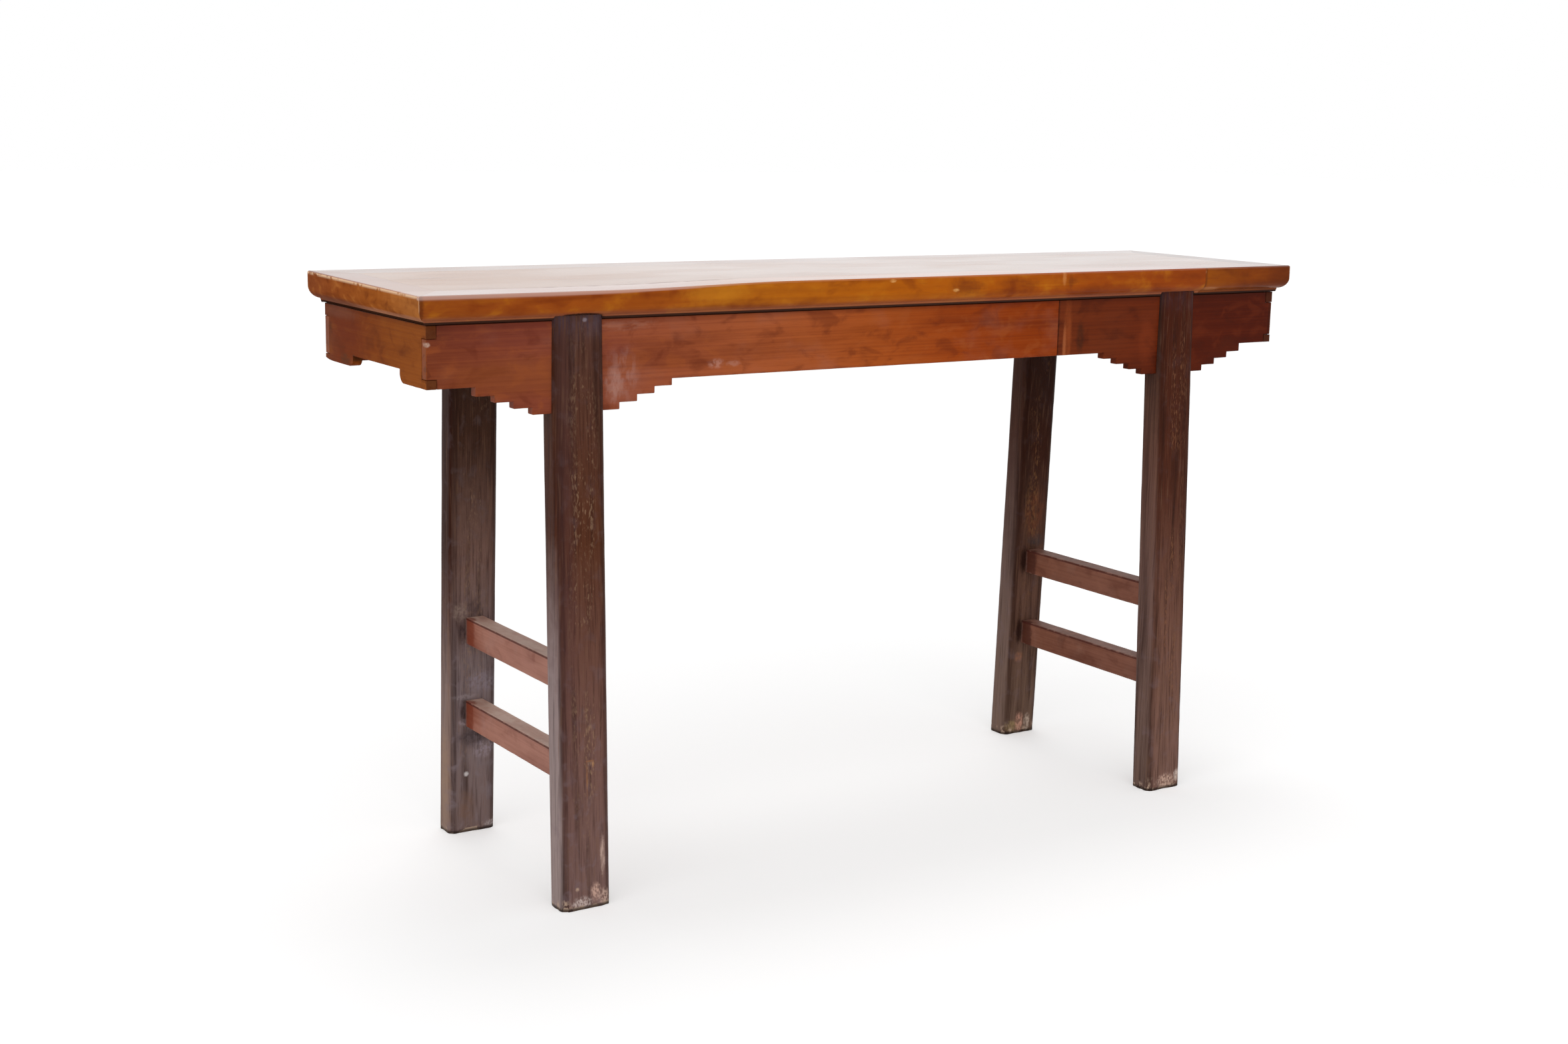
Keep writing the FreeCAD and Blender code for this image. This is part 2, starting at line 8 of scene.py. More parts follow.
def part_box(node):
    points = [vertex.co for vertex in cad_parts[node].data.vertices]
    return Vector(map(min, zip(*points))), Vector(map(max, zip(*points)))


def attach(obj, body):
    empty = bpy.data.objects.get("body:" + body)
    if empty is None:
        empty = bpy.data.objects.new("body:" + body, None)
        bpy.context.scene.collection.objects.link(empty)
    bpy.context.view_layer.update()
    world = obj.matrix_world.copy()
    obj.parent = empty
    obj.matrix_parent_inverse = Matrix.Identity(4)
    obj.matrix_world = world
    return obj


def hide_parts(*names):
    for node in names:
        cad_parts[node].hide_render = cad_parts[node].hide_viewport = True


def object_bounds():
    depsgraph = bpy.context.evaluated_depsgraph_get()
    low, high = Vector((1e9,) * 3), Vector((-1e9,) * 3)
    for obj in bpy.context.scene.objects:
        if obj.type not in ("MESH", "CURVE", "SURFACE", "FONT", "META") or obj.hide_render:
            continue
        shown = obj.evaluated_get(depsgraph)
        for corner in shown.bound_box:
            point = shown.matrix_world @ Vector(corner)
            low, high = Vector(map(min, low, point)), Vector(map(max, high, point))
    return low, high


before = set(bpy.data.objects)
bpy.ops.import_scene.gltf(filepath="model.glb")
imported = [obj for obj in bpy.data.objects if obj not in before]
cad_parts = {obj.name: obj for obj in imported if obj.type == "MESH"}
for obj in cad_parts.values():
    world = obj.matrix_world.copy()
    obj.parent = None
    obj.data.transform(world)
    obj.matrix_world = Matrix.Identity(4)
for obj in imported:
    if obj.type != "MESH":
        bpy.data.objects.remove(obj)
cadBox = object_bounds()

# An old side table: amber varnished top, red-brown aprons, dark worn legs.
# Metres, X along the table, the front towards -Y, Z up from the floor.

print("frame loaded:", len(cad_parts), "nodes")


def tone(red, green, blue):
    # A colour as an eye sees it, 0 to 255, turned into the renderer's own values
    parts = []
    for value in (red, green, blue):
        share = value / 255
        parts.append(share / 12.92 if share <= 0.04045 else ((share + 0.055) / 1.055) ** 2.4)
    return (*parts, 1)


class Wire:
    # A socket of a node tree. Python's signs between sockets and numbers add Math nodes.
    def __init__(self, owner, socket):
        self.owner = owner
        self.socket = socket

    def maths(self, operation, first, second=0.0):
        return self.owner.add("ShaderNodeMath", {"operation": operation}, {0: first, 1: second})

    def __add__(self, other):
        return self.maths("ADD", self, other)

    def __sub__(self, other):
        return self.maths("SUBTRACT", self, other)

    def __rsub__(self, other):
        return self.maths("SUBTRACT", other, self)

    def __mul__(self, other):
        return self.maths("MULTIPLY", self, other)

    def __truediv__(self, other):
        return self.maths("DIVIDE", self, other)

    def __pow__(self, other):
        return self.maths("POWER", self, other)

    def __gt__(self, other):
        return self.maths("GREATER_THAN", self, other)

    def __abs__(self):
        return self.maths("ABSOLUTE", self)

    def atLeast(self, other):
        return self.maths("MAXIMUM", self, other)

    def atMost(self, other):
        return self.maths("MINIMUM", self, other)

    def sine(self):
        return self.maths("SINE", self)

    __radd__ = __add__
    __rmul__ = __mul__


class Graph:
    # A node tree with one method, add, for every node
    def __init__(self, tree):
        self.tree = tree

    def add(self, kind, settings=None, inputs=None, output=0):
        node = self.tree.nodes.new(kind)
        for key, value in (settings or {}).items():
            if key == "stops":
                while len(node.color_ramp.elements) < len(value):
                    node.color_ramp.elements.new(1)
                for element, (spot, colour) in zip(node.color_ramp.elements, value):
                    element.position = spot
                    element.color = colour
            else:
                setattr(node, key, value)
        for key, value in (inputs or {}).items():
            if isinstance(value, Wire):
                self.tree.links.new(value.socket, node.inputs[key])
            else:
                node.inputs[key].default_value = value
        return Wire(self, node.outputs[output])

    def axis(self, index):
        return self.add("ShaderNodeSeparateXYZ", inputs={0: self.place}, output=index)


class Shape(Graph):
    # A geometry tree with named inputs
    def __init__(self, name, lengths, counts=()):
        super().__init__(bpy.data.node_groups.new(name, "GeometryNodeTree"))
        self.tree.is_modifier = True
        sockets = self.tree.interface
        sockets.new_socket("Geometry", in_out="OUTPUT", socket_type="NodeSocketGeometry")
        self.labels = {}
        for label in (*lengths, *counts):
            kind = "NodeSocketInt" if label in counts else "NodeSocketFloat"
            self.labels[label] = sockets.new_socket(label, in_out="INPUT", socket_type=kind).identifier
        given = self.tree.nodes.new("NodeGroupInput")
        self.given = {label: Wire(self, given.outputs[label]) for label in self.labels}
        self.place = self.add("GeometryNodeInputPosition")

    def point(self, x=0.0, y=0.0, z=0.0):
        return self.add("ShaderNodeCombineXYZ", inputs={0: x, 1: y, 2: z})

    def close(self, geometry, material=None):
        real = self.add("GeometryNodeRealizeInstances", inputs={"Geometry": geometry})
        paint = self.add("GeometryNodeSetMaterial", inputs={"Geometry": real, "Material": material})
        self.tree.links.new(paint.socket, self.tree.nodes.new("NodeGroupOutput").inputs[0])

    def bake(self, name, values):
        # Runs the tree on an empty mesh with these input values and returns the plain mesh it makes
        carrier = bpy.data.objects.new(name, bpy.data.meshes.new(name))
        bpy.context.scene.collection.objects.link(carrier)
        modifier = carrier.modifiers.new("shape", "NODES")
        modifier.node_group = self.tree
        for label, value in values.items():
            modifier[self.labels[label]] = value
        bpy.context.view_layer.update()
        ready = carrier.evaluated_get(bpy.context.evaluated_depsgraph_get())
        data = bpy.data.meshes.new_from_object(ready)
        bpy.data.objects.remove(carrier)
        return data


class Finish(Graph):
    # A material or world, with names for the usual patterns
    def __init__(self, name, owner=None):
        self.material = owner or bpy.data.materials.new(name)
        self.material.use_nodes = True
        super().__init__(self.material.node_tree)
        self.tree.nodes.clear()
        self.place = self.add("ShaderNodeTexCoord", output="Object")

    def vector(self, operation, first, second, output=0):
        return self.add("ShaderNodeVectorMath", {"operation": operation}, {0: first, 1: second}, output)

    def cloud(self, scale, detail, shift, warp=0.0):
        # Noise around 0.5, with its own scale along each axis
        moved = self.vector("ADD", self.place, (shift, shift * 1.7, shift * 0.6))
        spread = self.vector("MULTIPLY", moved, scale)
        values = {"Vector": spread, "Scale": 1.0, "Detail": detail, "Roughness": 0.5, "Distortion": warp}
        return self.add("ShaderNodeTexNoise", inputs=values)

    def fade(self, value, low, high):
        inputs = {0: value, 1: low, 2: high, 3: 0.0, 4: 1.0}
        return self.add("ShaderNodeMapRange", {"interpolation_type": "SMOOTHSTEP"}, inputs)

    def band(self, value, low, high, soft):
        return self.fade(value, low - soft, low + soft) * (1 - self.fade(value, high - soft, high + soft))

    def spot(self, centre, radii, edge, ragged):
        # 1 inside an oval patch with an uneven rim, and 0 outside it
        away = self.vector("DIVIDE", self.vector("SUBTRACT", self.place, centre), radii)
        grain = 1.6 / min(radii)
        uneven = (self.cloud((grain, grain, grain), 3, centre[0] * 10) - 0.5) * ragged
        reach = self.vector("LENGTH", away, (0, 0, 0), 1) + uneven
        return 1 - self.fade(reach, 1 - edge, 1 + edge)

    def block(self, low, high, soft):
        # 1 inside a block whose faces are soft by their own amounts
        share = 1.0
        for axis in range(3):
            share = self.band(self.axis(axis), low[axis], high[axis], soft[axis]) * share
        return share

    def mix(self, share, under, over):
        return self.add("ShaderNodeMix", {"data_type": "RGBA"}, {0: share, 6: under, 7: over}, 2)

    def layers(self, colour, look, coats):
        # Each coat has a share and a colour, which may be the name of one of the look's own
        for share, over in coats:
            over = look[over] if isinstance(over, str) else over
            colour = self.mix(share, colour, tone(*over))
        return colour

    def ramp(self, value, stops):
        return self.add("ShaderNodeValToRGB", {"stops": stops}, {0: value})

    def seen(self):
        # 1 for what the camera sees directly, mirrored or through glass
        rays = [self.add("ShaderNodeLightPath", output="Is " + kind + " Ray")
                for kind in ("Camera", "Glossy", "Transmission")]
        return (rays[0] + rays[1] + rays[2]).atMost(1.0)

    def worn(self, name):
        # A number stored on the piece's own points
        return self.add("ShaderNodeAttribute", {"attribute_name": name}, output="Fac")

    def close(self, colour, rough, height, depth, shine, coat=0.0):
        normal = self.add("ShaderNodeBump", inputs={"Strength": 1.0, "Distance": depth, "Height": height})
        return self.output(self.add("ShaderNodeBsdfPrincipled", inputs={
            "Base Color": colour, "Roughness": rough, "Normal": normal, "Specular IOR Level": shine,
            "Coat Weight": coat, "Coat Roughness": 0.1,
        }))

    def output(self, surface, kind="ShaderNodeOutputMaterial"):
        self.tree.links.new(surface.socket, self.tree.nodes.new(kind).inputs["Surface"])
        return self.material


def growWood(finish, look):
    # A board's figure: growth rings round a heart line, slow patches, fine lines and open pores
    along = look["along"]
    seed = look["seed"]

    def stretched(across, length, *rest):
        scale = [across] * 3
        scale[along] = length
        return finish.cloud(tuple(scale), *rest)

    flat = [1.0, 1.0, 1.0]
    flat[along] = 0.02
    away = finish.vector("MULTIPLY", finish.vector("SUBTRACT", finish.place, look["heart"]), tuple(flat))
    bend = stretched(14, 1.6, 3, seed) - 0.5
    reach = finish.vector("LENGTH", away, (0, 0, 0), 1) + bend * look["wave"]
    rings = ((reach * (2 * math.pi / look["ringStep"])).sine() * 0.5 + 0.5) ** 1.6
    return {
        "rings": rings * finish.fade(stretched(9, 2.5, 2, seed + 1), 0.35, 0.7),
        "patches": stretched(look["patch"], look["patch"] * 0.16, 4, seed + 3, 0.6),
        "lines": stretched(look["lines"], 2.2, 4, seed + 5, 0.15),
        "pores": finish.fade(stretched(1400, 36, 2, seed + 8), 0.60, 0.72),
    }


def drift(finish, look, wander):
    # The board's colour along its length, with uneven borders between the stretches
    places = [place for place, _ in look["stretches"]]
    first, reach = places[0], places[-1] - places[0]
    value = (finish.axis(look["along"]) + wander * look["wander"] - first) / reach
    stops = [((place - first) / reach, tone(*colour)) for place, colour in look["stretches"]]
    return finish.ramp(value, stops)


def oval(at, size, strength, colour, broken=0.0, grain=(60, 60, 120), edge=0.5, ragged=0.8):
    # A mark inside an oval of these half lengths, broken up by noise where broken is above 0
    return (lambda finish: finish.spot(at, size, edge, ragged)), strength, colour, broken, grain


def slab(low, high, soft, strength, colour, broken=0.0, grain=(60, 60, 120)):
    # A mark inside a block with soft edges
    return (lambda finish: finish.block(low, high, soft)), strength, colour, broken, grain


def addMarks(finish, colour, marks):
    # Stains, scuffs and chips, and a few painted shadows and highlights
    for cover, strength, over, broken, grain in marks:
        share = cover(finish)
        if broken:
            patchy = finish.fade(finish.cloud(grain, 4, over[0]), 0.38, 0.60)
            share = share * (patchy * broken + (1 - broken))
        colour = finish.mix(share * strength, colour, tone(*over))
    return colour


varnishHeights = {
    "lip": (0.8093, 0.8106),       # the painted shadow under the moulding ends here
    "hollow": (0.8130, 0.8190),    # the moulding's hollow, with a painted reflection of the floor
    "rubbed": (0.818, 0.826),      # only arrises above this are rubbed
}
varnishLengths = {
    "dull": (-0.76, -0.20),        # the mirror is duller at the left end
    # the painted pale sheen on the front stile's top fades out between these
    "pale": (-0.44, -0.22),
    "seam": (-0.58, -0.26),        # dirt in the joint between stile and panel
}


def varnish(name, look):
    # Amber varnish over a figured board: mottled on its sides, a calm mirror on top, worn arrises with a
    # painted highlight, a painted pale sheen on the front stile, a painted floor reflection in the
    # moulding's hollow and a painted shadow under it
    finish = Finish(name)
    figure = growWood(finish, look)
    high = finish.axis(2)
    lid = finish.worn("lid")
    calm = 1 - lid * look["calm"]
    dark = finish.fade(figure["patches"], 0.50, 0.76) * 0.60
    light = finish.fade(figure["patches"], 0.50, 0.28) * finish.fade(figure["lines"], 0.4, 0.65)
    flame = finish.cloud(look["flameGrain"], 3, look["seed"] + 11, 0.4)
    # Painted reflection: the moulding's hollow takes a paler tone, as if lit by the white floor
    hollow = 1 - finish.fade(high + (flame - 0.5) * 0.004, *varnishHeights["hollow"])
    colour = finish.layers(drift(finish, look, figure["patches"] - 0.5), look, [
        (dark * calm, "streak"),
        (light * calm * 0.4, "glow"),
        (finish.fade(flame, 0.50, 0.74) * calm * look["flame"], "streak"),
        (finish.fade(flame, 0.50, 0.26) * calm * look["flame"], "glow"),
        (figure["rings"] * calm * 0.20, "streak"),
        (figure["pores"] * calm * 0.25, "streak"),
        (hollow * look["hollowReflection"], "hollowReflectionTone"),
    ])
    colour = addMarks(finish, colour, look["marks"])
    leftward = finish.axis(0) + (finish.cloud((9, 30, 30), 3, 5.0) - 0.5) * 0.10
    onStile = lid * (1 - finish.fade(finish.axis(1), innerLine - 0.004, innerLine))
    # Painted reflection: a pale sheen on the front stile's top towards its left end
    pale = onStile * (1 - finish.fade(leftward, *varnishLengths["pale"]))
    seam = finish.band(finish.axis(1), innerLine - 0.003, innerLine + 0.006, 0.002)
    seam = seam * lid * finish.band(leftward, *varnishLengths["seam"], 0.05)
    seam = seam * finish.fade(finish.cloud((40, 10, 10), 2, 3.0), 0.36, 0.60)
    # Painted shadow: near-black along the bottom of the moulding, where the top overhangs
    lip = 1 - finish.fade(high, *varnishHeights["lip"])
    # Worn arrises, paler where rubbed, with a painted highlight along them. The top arris is too round to
    # count as an edge, so its painted highlight follows the drop below the top.
    cover = look["rubCover"]
    rub = 1 - finish.fade(finish.worn("edgeDistance"), 0.0004, look["rubReach"])
    arris = 1 - finish.fade(finish.worn("drop"), 0.0020, look["arrisReach"])
    rub = rub.atLeast(arris * (1 - lid) * look["arris"])
    rub = rub * finish.fade(finish.cloud((60, 60, 60), 3, 2.0), cover, cover + 0.17)
    rub = rub * finish.fade(high, *varnishHeights["rubbed"]) * calm
    colour = finish.layers(colour, look, [
        (pale * 0.3, (238, 208, 198)),
        (seam * 0.6, (96, 62, 46)),
        (lip * 0.93, (36, 16, 8)),
        (rub * look["rub"], "rubbed"),
    ])
    smudge = finish.cloud((5, 14, 14), 3, 7.0, 0.3)
    rough = finish.fade(smudge, 0.3, 0.75) * 0.08 + 0.20
    height = (figure["rings"] * 0.2 + figure["lines"] * 0.4 - figure["pores"] * 0.4) * calm + smudge * 0.6
    coat = lid * (finish.fade(smudge, 0.7, 0.3) * 0.08 + 0.92) * (1 - seam * 0.5) * look["gloss"]
    coat = coat * (1 - (1 - finish.fade(leftward, *varnishLengths["dull"])) * look["dull"])
    return finish.close(colour, rough, height, 0.00006, look["shine"], coat)


stainBase = {"roughness": 0.42, "shine": 0.05, "marks": []}


def stain(name, look):
    # Red-brown stain over fine lengthwise grain, satin, with dust and scuffs, and a painted shadow under the
    # top where the look asks for it
    finish = Finish(name)
    figure = growWood(finish, look)
    blotch = finish.cloud((22, 22, 36), 4, look["seed"] + 15, 0.5)
    colour = finish.layers(drift(finish, look, figure["patches"] - 0.5), look, [
        (finish.fade(figure["patches"], 0.48, 0.78) * 0.50, "streak"),
        (finish.fade(figure["lines"], 0.42, 0.74) * 0.22, "streak"),
        (finish.fade(figure["lines"], 0.52, 0.28) * 0.16, "glow"),
        (finish.fade(blotch, 0.52, 0.68) * 0.42, "streak"),
        (finish.fade(blotch, 0.48, 0.34) * 0.30, "glow"),
        (figure["rings"] * 0.14, "streak"),
        (figure["pores"] * 0.25, "streak"),
    ])
    if "endGrain" in look:
        ends = look["endGrain"]
        beyond = abs(finish.axis(ends["axis"])) > ends["past"]
        colour = finish.mix(beyond * ends["strength"], colour, tone(*ends["colour"]))
    dust = finish.fade(finish.cloud((14, 22, 22), 5, look["seed"] + 4.0), 0.48, 0.80)
    colour = finish.mix(dust * look["dust"], colour, tone(*look["dustColour"]))
    # Painted shadow under the table top: darker towards the top edge and near-black just under the overhang
    if "topShadowFrom" in look:
        start = look["topShadowFrom"]
        colour = finish.layers(colour, look, [
            (finish.fade(finish.axis(2), start - 0.008, start) * 0.35, "streak"),
            (finish.fade(finish.axis(2), start, start + 0.0014) * 0.85, (44, 18, 10)),
        ])
    colour = addMarks(finish, colour, look["marks"])
    chipped = finish.fade(finish.cloud((90, 90, 90), 4, 1.0), 0.50, 0.66)
    rub = (1 - finish.fade(finish.worn("edgeDistance"), 0.0006, 0.0026)) * chipped
    colour = finish.mix(rub * 0.5, colour, tone(*look["rubbed"]))
    height = figure["rings"] * 0.2 + figure["lines"] * 0.6 - figure["pores"] * 0.5
    return finish.close(colour, dust * 0.2 + look["roughness"], height, 0.00012, look["shine"])


print("finishes ready")


# Meshes


meshRules = {
    "weldDistance": 0.00001,
    "sharpFrom": 28,          # degrees between the faces of an edge that is softened and worn
    "shadeFrom": 35,
    "shortestEdge": 0.004,
    "noEdge": 0.03,           # the distance stored where no sharp edge is near
    "edgeZone": 0.004,        # points this near an edge wear more
    "edgeGain": 2.2,
    "fineShare": 0.18,        # the quick noise is this much finer than the slow one
}


def weld(name):
    # A welded copy of a node's mesh, its flat faces joined again
    mesh = bmesh.new()
    mesh.from_mesh(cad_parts[name].data)
    bmesh.ops.remove_doubles(mesh, verts=mesh.verts, dist=meshRules["weldDistance"])
    bmesh.ops.dissolve_limit(
        mesh, angle_limit=math.radians(1), verts=mesh.verts, edges=mesh.edges, delimit=set()
    )
    return mesh


def sharpEdges(mesh):
    limit = math.radians(meshRules["sharpFrom"])
    return [
        edge for edge in mesh.edges
        if edge.is_manifold and edge.is_convex and edge.calc_face_angle(0) > limit
    ]


def soften(mesh, width, chosen):
    edges = [
        edge for edge in sharpEdges(mesh)
        if edge.calc_length() > meshRules["shortestEdge"] and all(chosen(vertex.co) for vertex in edge.verts)
    ]
    bmesh.ops.bevel(
        mesh, geom=edges, offset=width, offset_type="OFFSET", segments=1,
        profile=0.5, affect="EDGES", clamp_overlap=True,
    )


def dice(mesh, axis, places):
    # Cuts the faces along planes square to an axis, so that wear has points to move
    normal = Vector((0, 0, 0))
    normal[axis] = 1
    for place in places:
        everything = mesh.verts[:] + mesh.edges[:] + mesh.faces[:]
        bmesh.ops.bisect_plane(mesh, geom=everything, dist=1e-6, plane_co=normal * place, plane_no=normal)


def steps(low, high, size):
    count = max(1, round((high - low) / size))
    return [low + (high - low) * (index + 0.5) / count for index in range(count)]


def markEdges(mesh, segments):
    # Stores each point's distance to the nearest sharp edge that the piece had
    layer = mesh.verts.layers.float.new("edgeDistance")
    points = np.array([vertex.co for vertex in mesh.verts])
    nearest = np.full(len(points), meshRules["noEdge"])
    for start, end in segments:
        start, run = np.array(start), np.array(end) - np.array(start)
        share = np.clip(((points - start) @ run) / (run @ run), 0, 1)
        nearest = np.minimum(nearest, np.linalg.norm(points - start - share[:, None] * run, axis=1))
    for vertex, value in zip(mesh.verts, nearest):
        vertex[layer] = value


def edgeRuns(mesh):
    return [(edge.verts[0].co.copy(), edge.verts[1].co.copy()) for edge in sharpEdges(mesh)]


def weather(mesh, depth, size, seed, limits):
    # Moves each point inwards by slow noise, and a little more along the edges
    mesh.normal_update()
    layer = mesh.verts.layers.float.get("edgeDistance")
    low, high = limits
    for vertex in mesh.verts:
        slow = noise.noise(vertex.co / size + Vector((seed, 0, 0))) * 0.5 + 0.5
        quick = noise.noise(vertex.co / (size * meshRules["fineShare"]) + Vector((0, seed, 0))) * 0.5 + 0.5
        nearEdge = 1 - min(1, vertex[layer] / meshRules["edgeZone"])
        push = depth * (slow + meshRules["edgeGain"] * nearEdge * quick * quick)
        moved = vertex.co - vertex.normal * push
        vertex.co = [min(max(moved[axis], low[axis]), high[axis]) for axis in range(3)]


def finishPiece(name, mesh, material, slot, *nodes):
    data = bpy.data.meshes.new(name)
    mesh.to_mesh(data)
    mesh.free()
    placePiece(name, data, material, slot, *nodes)


def shade(data):
    # Smooth shading that stops at sharp edges
    mesh = bmesh.new()
    mesh.from_mesh(data)
    mesh.normal_update()
    for face in mesh.faces:
        face.smooth = True
    for edge in mesh.edges:
        edge.smooth = edge.calc_face_angle(0) < math.radians(meshRules["shadeFrom"])
    mesh.to_mesh(data)
    mesh.free()
    given = data.attributes.get("custom_normal")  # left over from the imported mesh
    if given:
        data.attributes.remove(given)


def placePiece(name, data, material, slot, *nodes):
    shade(data)
    data.materials.clear()
    data.materials.append(material)
    piece = bpy.data.objects.new(name, data)
    bpy.context.scene.collection.objects.link(piece)
    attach(piece, "root")
    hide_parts(*nodes)


def everywhere(spot):
    return True


def wearPiece(node, material, slot, bevel, grid, wear, chosen=everywhere, reshape=None, prefix="worn_"):
    # A node's own mesh with softened edges, cut along a grid and worn by a depth, a size and a seed
    mesh = weld(node)
    runs = edgeRuns(mesh)
    soften(mesh, bevel, chosen)
    for axis, places in grid.items():
        dice(mesh, axis, places)
    markEdges(mesh, runs)
    weather(mesh, *wear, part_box(node))
    if reshape:
        reshape(mesh)
    finishPiece(prefix + node, mesh, material, slot, node)


# Top frame and panel


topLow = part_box("back_stile")[0]
deskHigh = cadBox[1].z
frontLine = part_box("front_stile")[0].y
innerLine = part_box("front_stile")[1].y
leftLine = cadBox[0].x

topWear = {
    "bevel": 0.0006,
    "wear": (0.00003, 0.09, 3.0),    # depth, size and seed
    "tilt": 0.0052,           # how far the front edge has sunk at the left
    "tiltFrom": -0.50,
    "tiltTo": -0.20,
    "roundLeft": 0.0065,      # the front arris, rubbed round at its left
    "roundRight": 0.0028,
    "roundFrom": -0.60,
    "roundTo": -0.28,
    "endArris": 0.0014,
    "rimInset": 0.004,        # only edges this near the rim, or this far down, are softened
    "rimDrop": 0.01,
}


def smooth(value, low, high):
    share = min(1, max(0, (value - low) / (high - low)))
    return share * share * (3 - 2 * share)


def onRim(spot):
    inset = topWear["rimInset"]
    nearSide = abs(spot.x) > -leftLine - inset or abs(spot.y) > -frontLine - inset
    return nearSide or spot.z < deskHigh - topWear["rimDrop"]


def wornTop(mesh):
    # The front arris is rubbed rounder towards the left, where the top slopes down to it a little
    wear = topWear
    tall = deskHigh - topLow.z
    lid = mesh.verts.layers.float.new("lid")
    below = mesh.verts.layers.float.new("drop")
    for vertex in mesh.verts:
        spot = vertex.co
        share = smooth(spot.x, wear["roundFrom"], wear["roundTo"])
        radius = wear["roundLeft"] * (1 - share) + wear["roundRight"] * share
        inset, drop = spot.y - frontLine, deskHigh - spot.z
        arc = radius if inset < radius else wear["endArris"]
        vertex[lid] = smooth(drop, arc * 1.05, arc * 0.6)
        vertex[below] = drop
        if inset < radius and drop < radius:
            offset = Vector((radius - inset, radius - drop))
            if offset.length > radius:
                offset = offset.normalized() * radius
                spot.y = frontLine + radius - offset.x
                spot.z = deskHigh - radius + offset.y
        along = 1 - smooth(spot.x, wear["tiltFrom"], wear["tiltTo"])
        across = 0.5 + spot.y / frontLine / 2
        upward = min(1, max(0, (spot.z - topLow.z) / tall))
        spot.z -= wear["tilt"] * along * across * upward


# Amber varnish looks: besides the wood's colours they set the painted floor reflection in the moulding's
# hollow and the painted highlight on the worn arrises
amber = {
    "patch": 30, "lines": 300, "wave": 0.03, "wander": 0.20, "rubbed": (206, 146, 106), "gloss": 0.82,
    "hollowReflection": 0.60, "hollowReflectionTone": (164, 102, 78), "flame": 0.30, "flameGrain": (24, 24, 34),
    "calm": 0.8, "dull": 0.0, "shine": 0.06, "rub": 0.5, "rubReach": 0.0020, "rubCover": 0.45,
    "arris": 0.3, "arrisReach": 0.0036, "marks": [],
}

frontStileLook = {
    **amber, "along": 0, "seed": 1.3, "heart": (0.1, -0.16, 0.74), "ringStep": 0.011,
    "streak": (124, 48, 6), "glow": (206, 124, 22), "flame": 0.55,
    "stretches": [
        (-0.76, (150, 72, 18)), (-0.60, (162, 78, 18)), (-0.40, (172, 86, 18)), (-0.30, (186, 104, 16)),
        (-0.05, (190, 100, 8)), (0.15, (184, 92, 6)), (0.30, (170, 78, 6)), (0.58, (160, 70, 8)),
    ],
    "marks": [
        oval((-0.764, -0.19, 0.83), (0.006, 0.03, 0.03), 0.7, (96, 40, 8)),
        oval((0.285, -0.192, 0.842), (0.0035, 0.01, 0.01), 0.7, (218, 140, 76), 0.4, (120, 60, 90)),
        oval((0.298, -0.192, 0.836), (0.004, 0.01, 0.01), 0.4, (120, 52, 12)),
        oval((0.1, -0.192, 0.833), (0.028, 0.01, 0.01), 0.6, (112, 44, 14), 0.3, (40, 60, 160)),
        oval((0.195, -0.192, 0.832), (0.034, 0.01, 0.012), 0.5, (120, 46, 12), 0.4, (40, 60, 160)),
        oval((-0.035, -0.192, 0.8455), (0.005, 0.01, 0.0022), 0.8, (232, 170, 100), 0.5, (240, 200, 300)),
        oval((0.079, -0.192, 0.829), (0.005, 0.01, 0.0022), 0.8, (232, 170, 100), 0.5, (240, 200, 300)),
        oval((-0.33, -0.192, 0.836), (0.045, 0.01, 0.012), 0.45, (208, 132, 30)),
        # Painted shadow: a near-black arch where the front left leg's head enters the moulding, with the
        # head's own dark colour painted inside it
        oval((-0.531, -0.19, 0.8075), (0.041, 0.03, 0.0085), 0.92, (32, 17, 13), edge=0.12, ragged=0.25),
        oval((-0.53, -0.19, 0.807), (0.036, 0.03, 0.006), 0.85, (70, 54, 58), edge=0.12, ragged=0.25),
        oval((0.579, -0.192, 0.83), (0.002, 0.02, 0.03), 0.6, (90, 38, 12)),
    ],
}
spliceLook = {
    **amber, "along": 0, "seed": 4.1, "heart": (0.7, -0.15, 0.72), "ringStep": 0.009, "flame": 0.4,
    "streak": (96, 38, 6), "glow": (166, 84, 12), "hollowReflectionTone": (132, 70, 36),
    "stretches": [(0.577, (158, 80, 8)), (0.66, (138, 62, 6)), (0.76, (112, 46, 6))],
    "marks": [
        oval((0.579, -0.192, 0.83), (0.002, 0.02, 0.03), 0.5, (90, 38, 12)),
        oval((0.592, -0.184, 0.8165), (0.016, 0.02, 0.003), 0.6, (196, 128, 80)),
    ],
}
backStileLook = {
    **amber, "along": 0, "seed": 2.2, "heart": (0, 0.17, 0.75), "ringStep": 0.010,
    "streak": (104, 46, 20), "glow": (176, 108, 46),
    "stretches": [
        (-0.76, (140, 80, 40)), (-0.2, (148, 82, 38)), (0.3, (142, 74, 28)), (0.76, (126, 62, 24)),
    ],
}
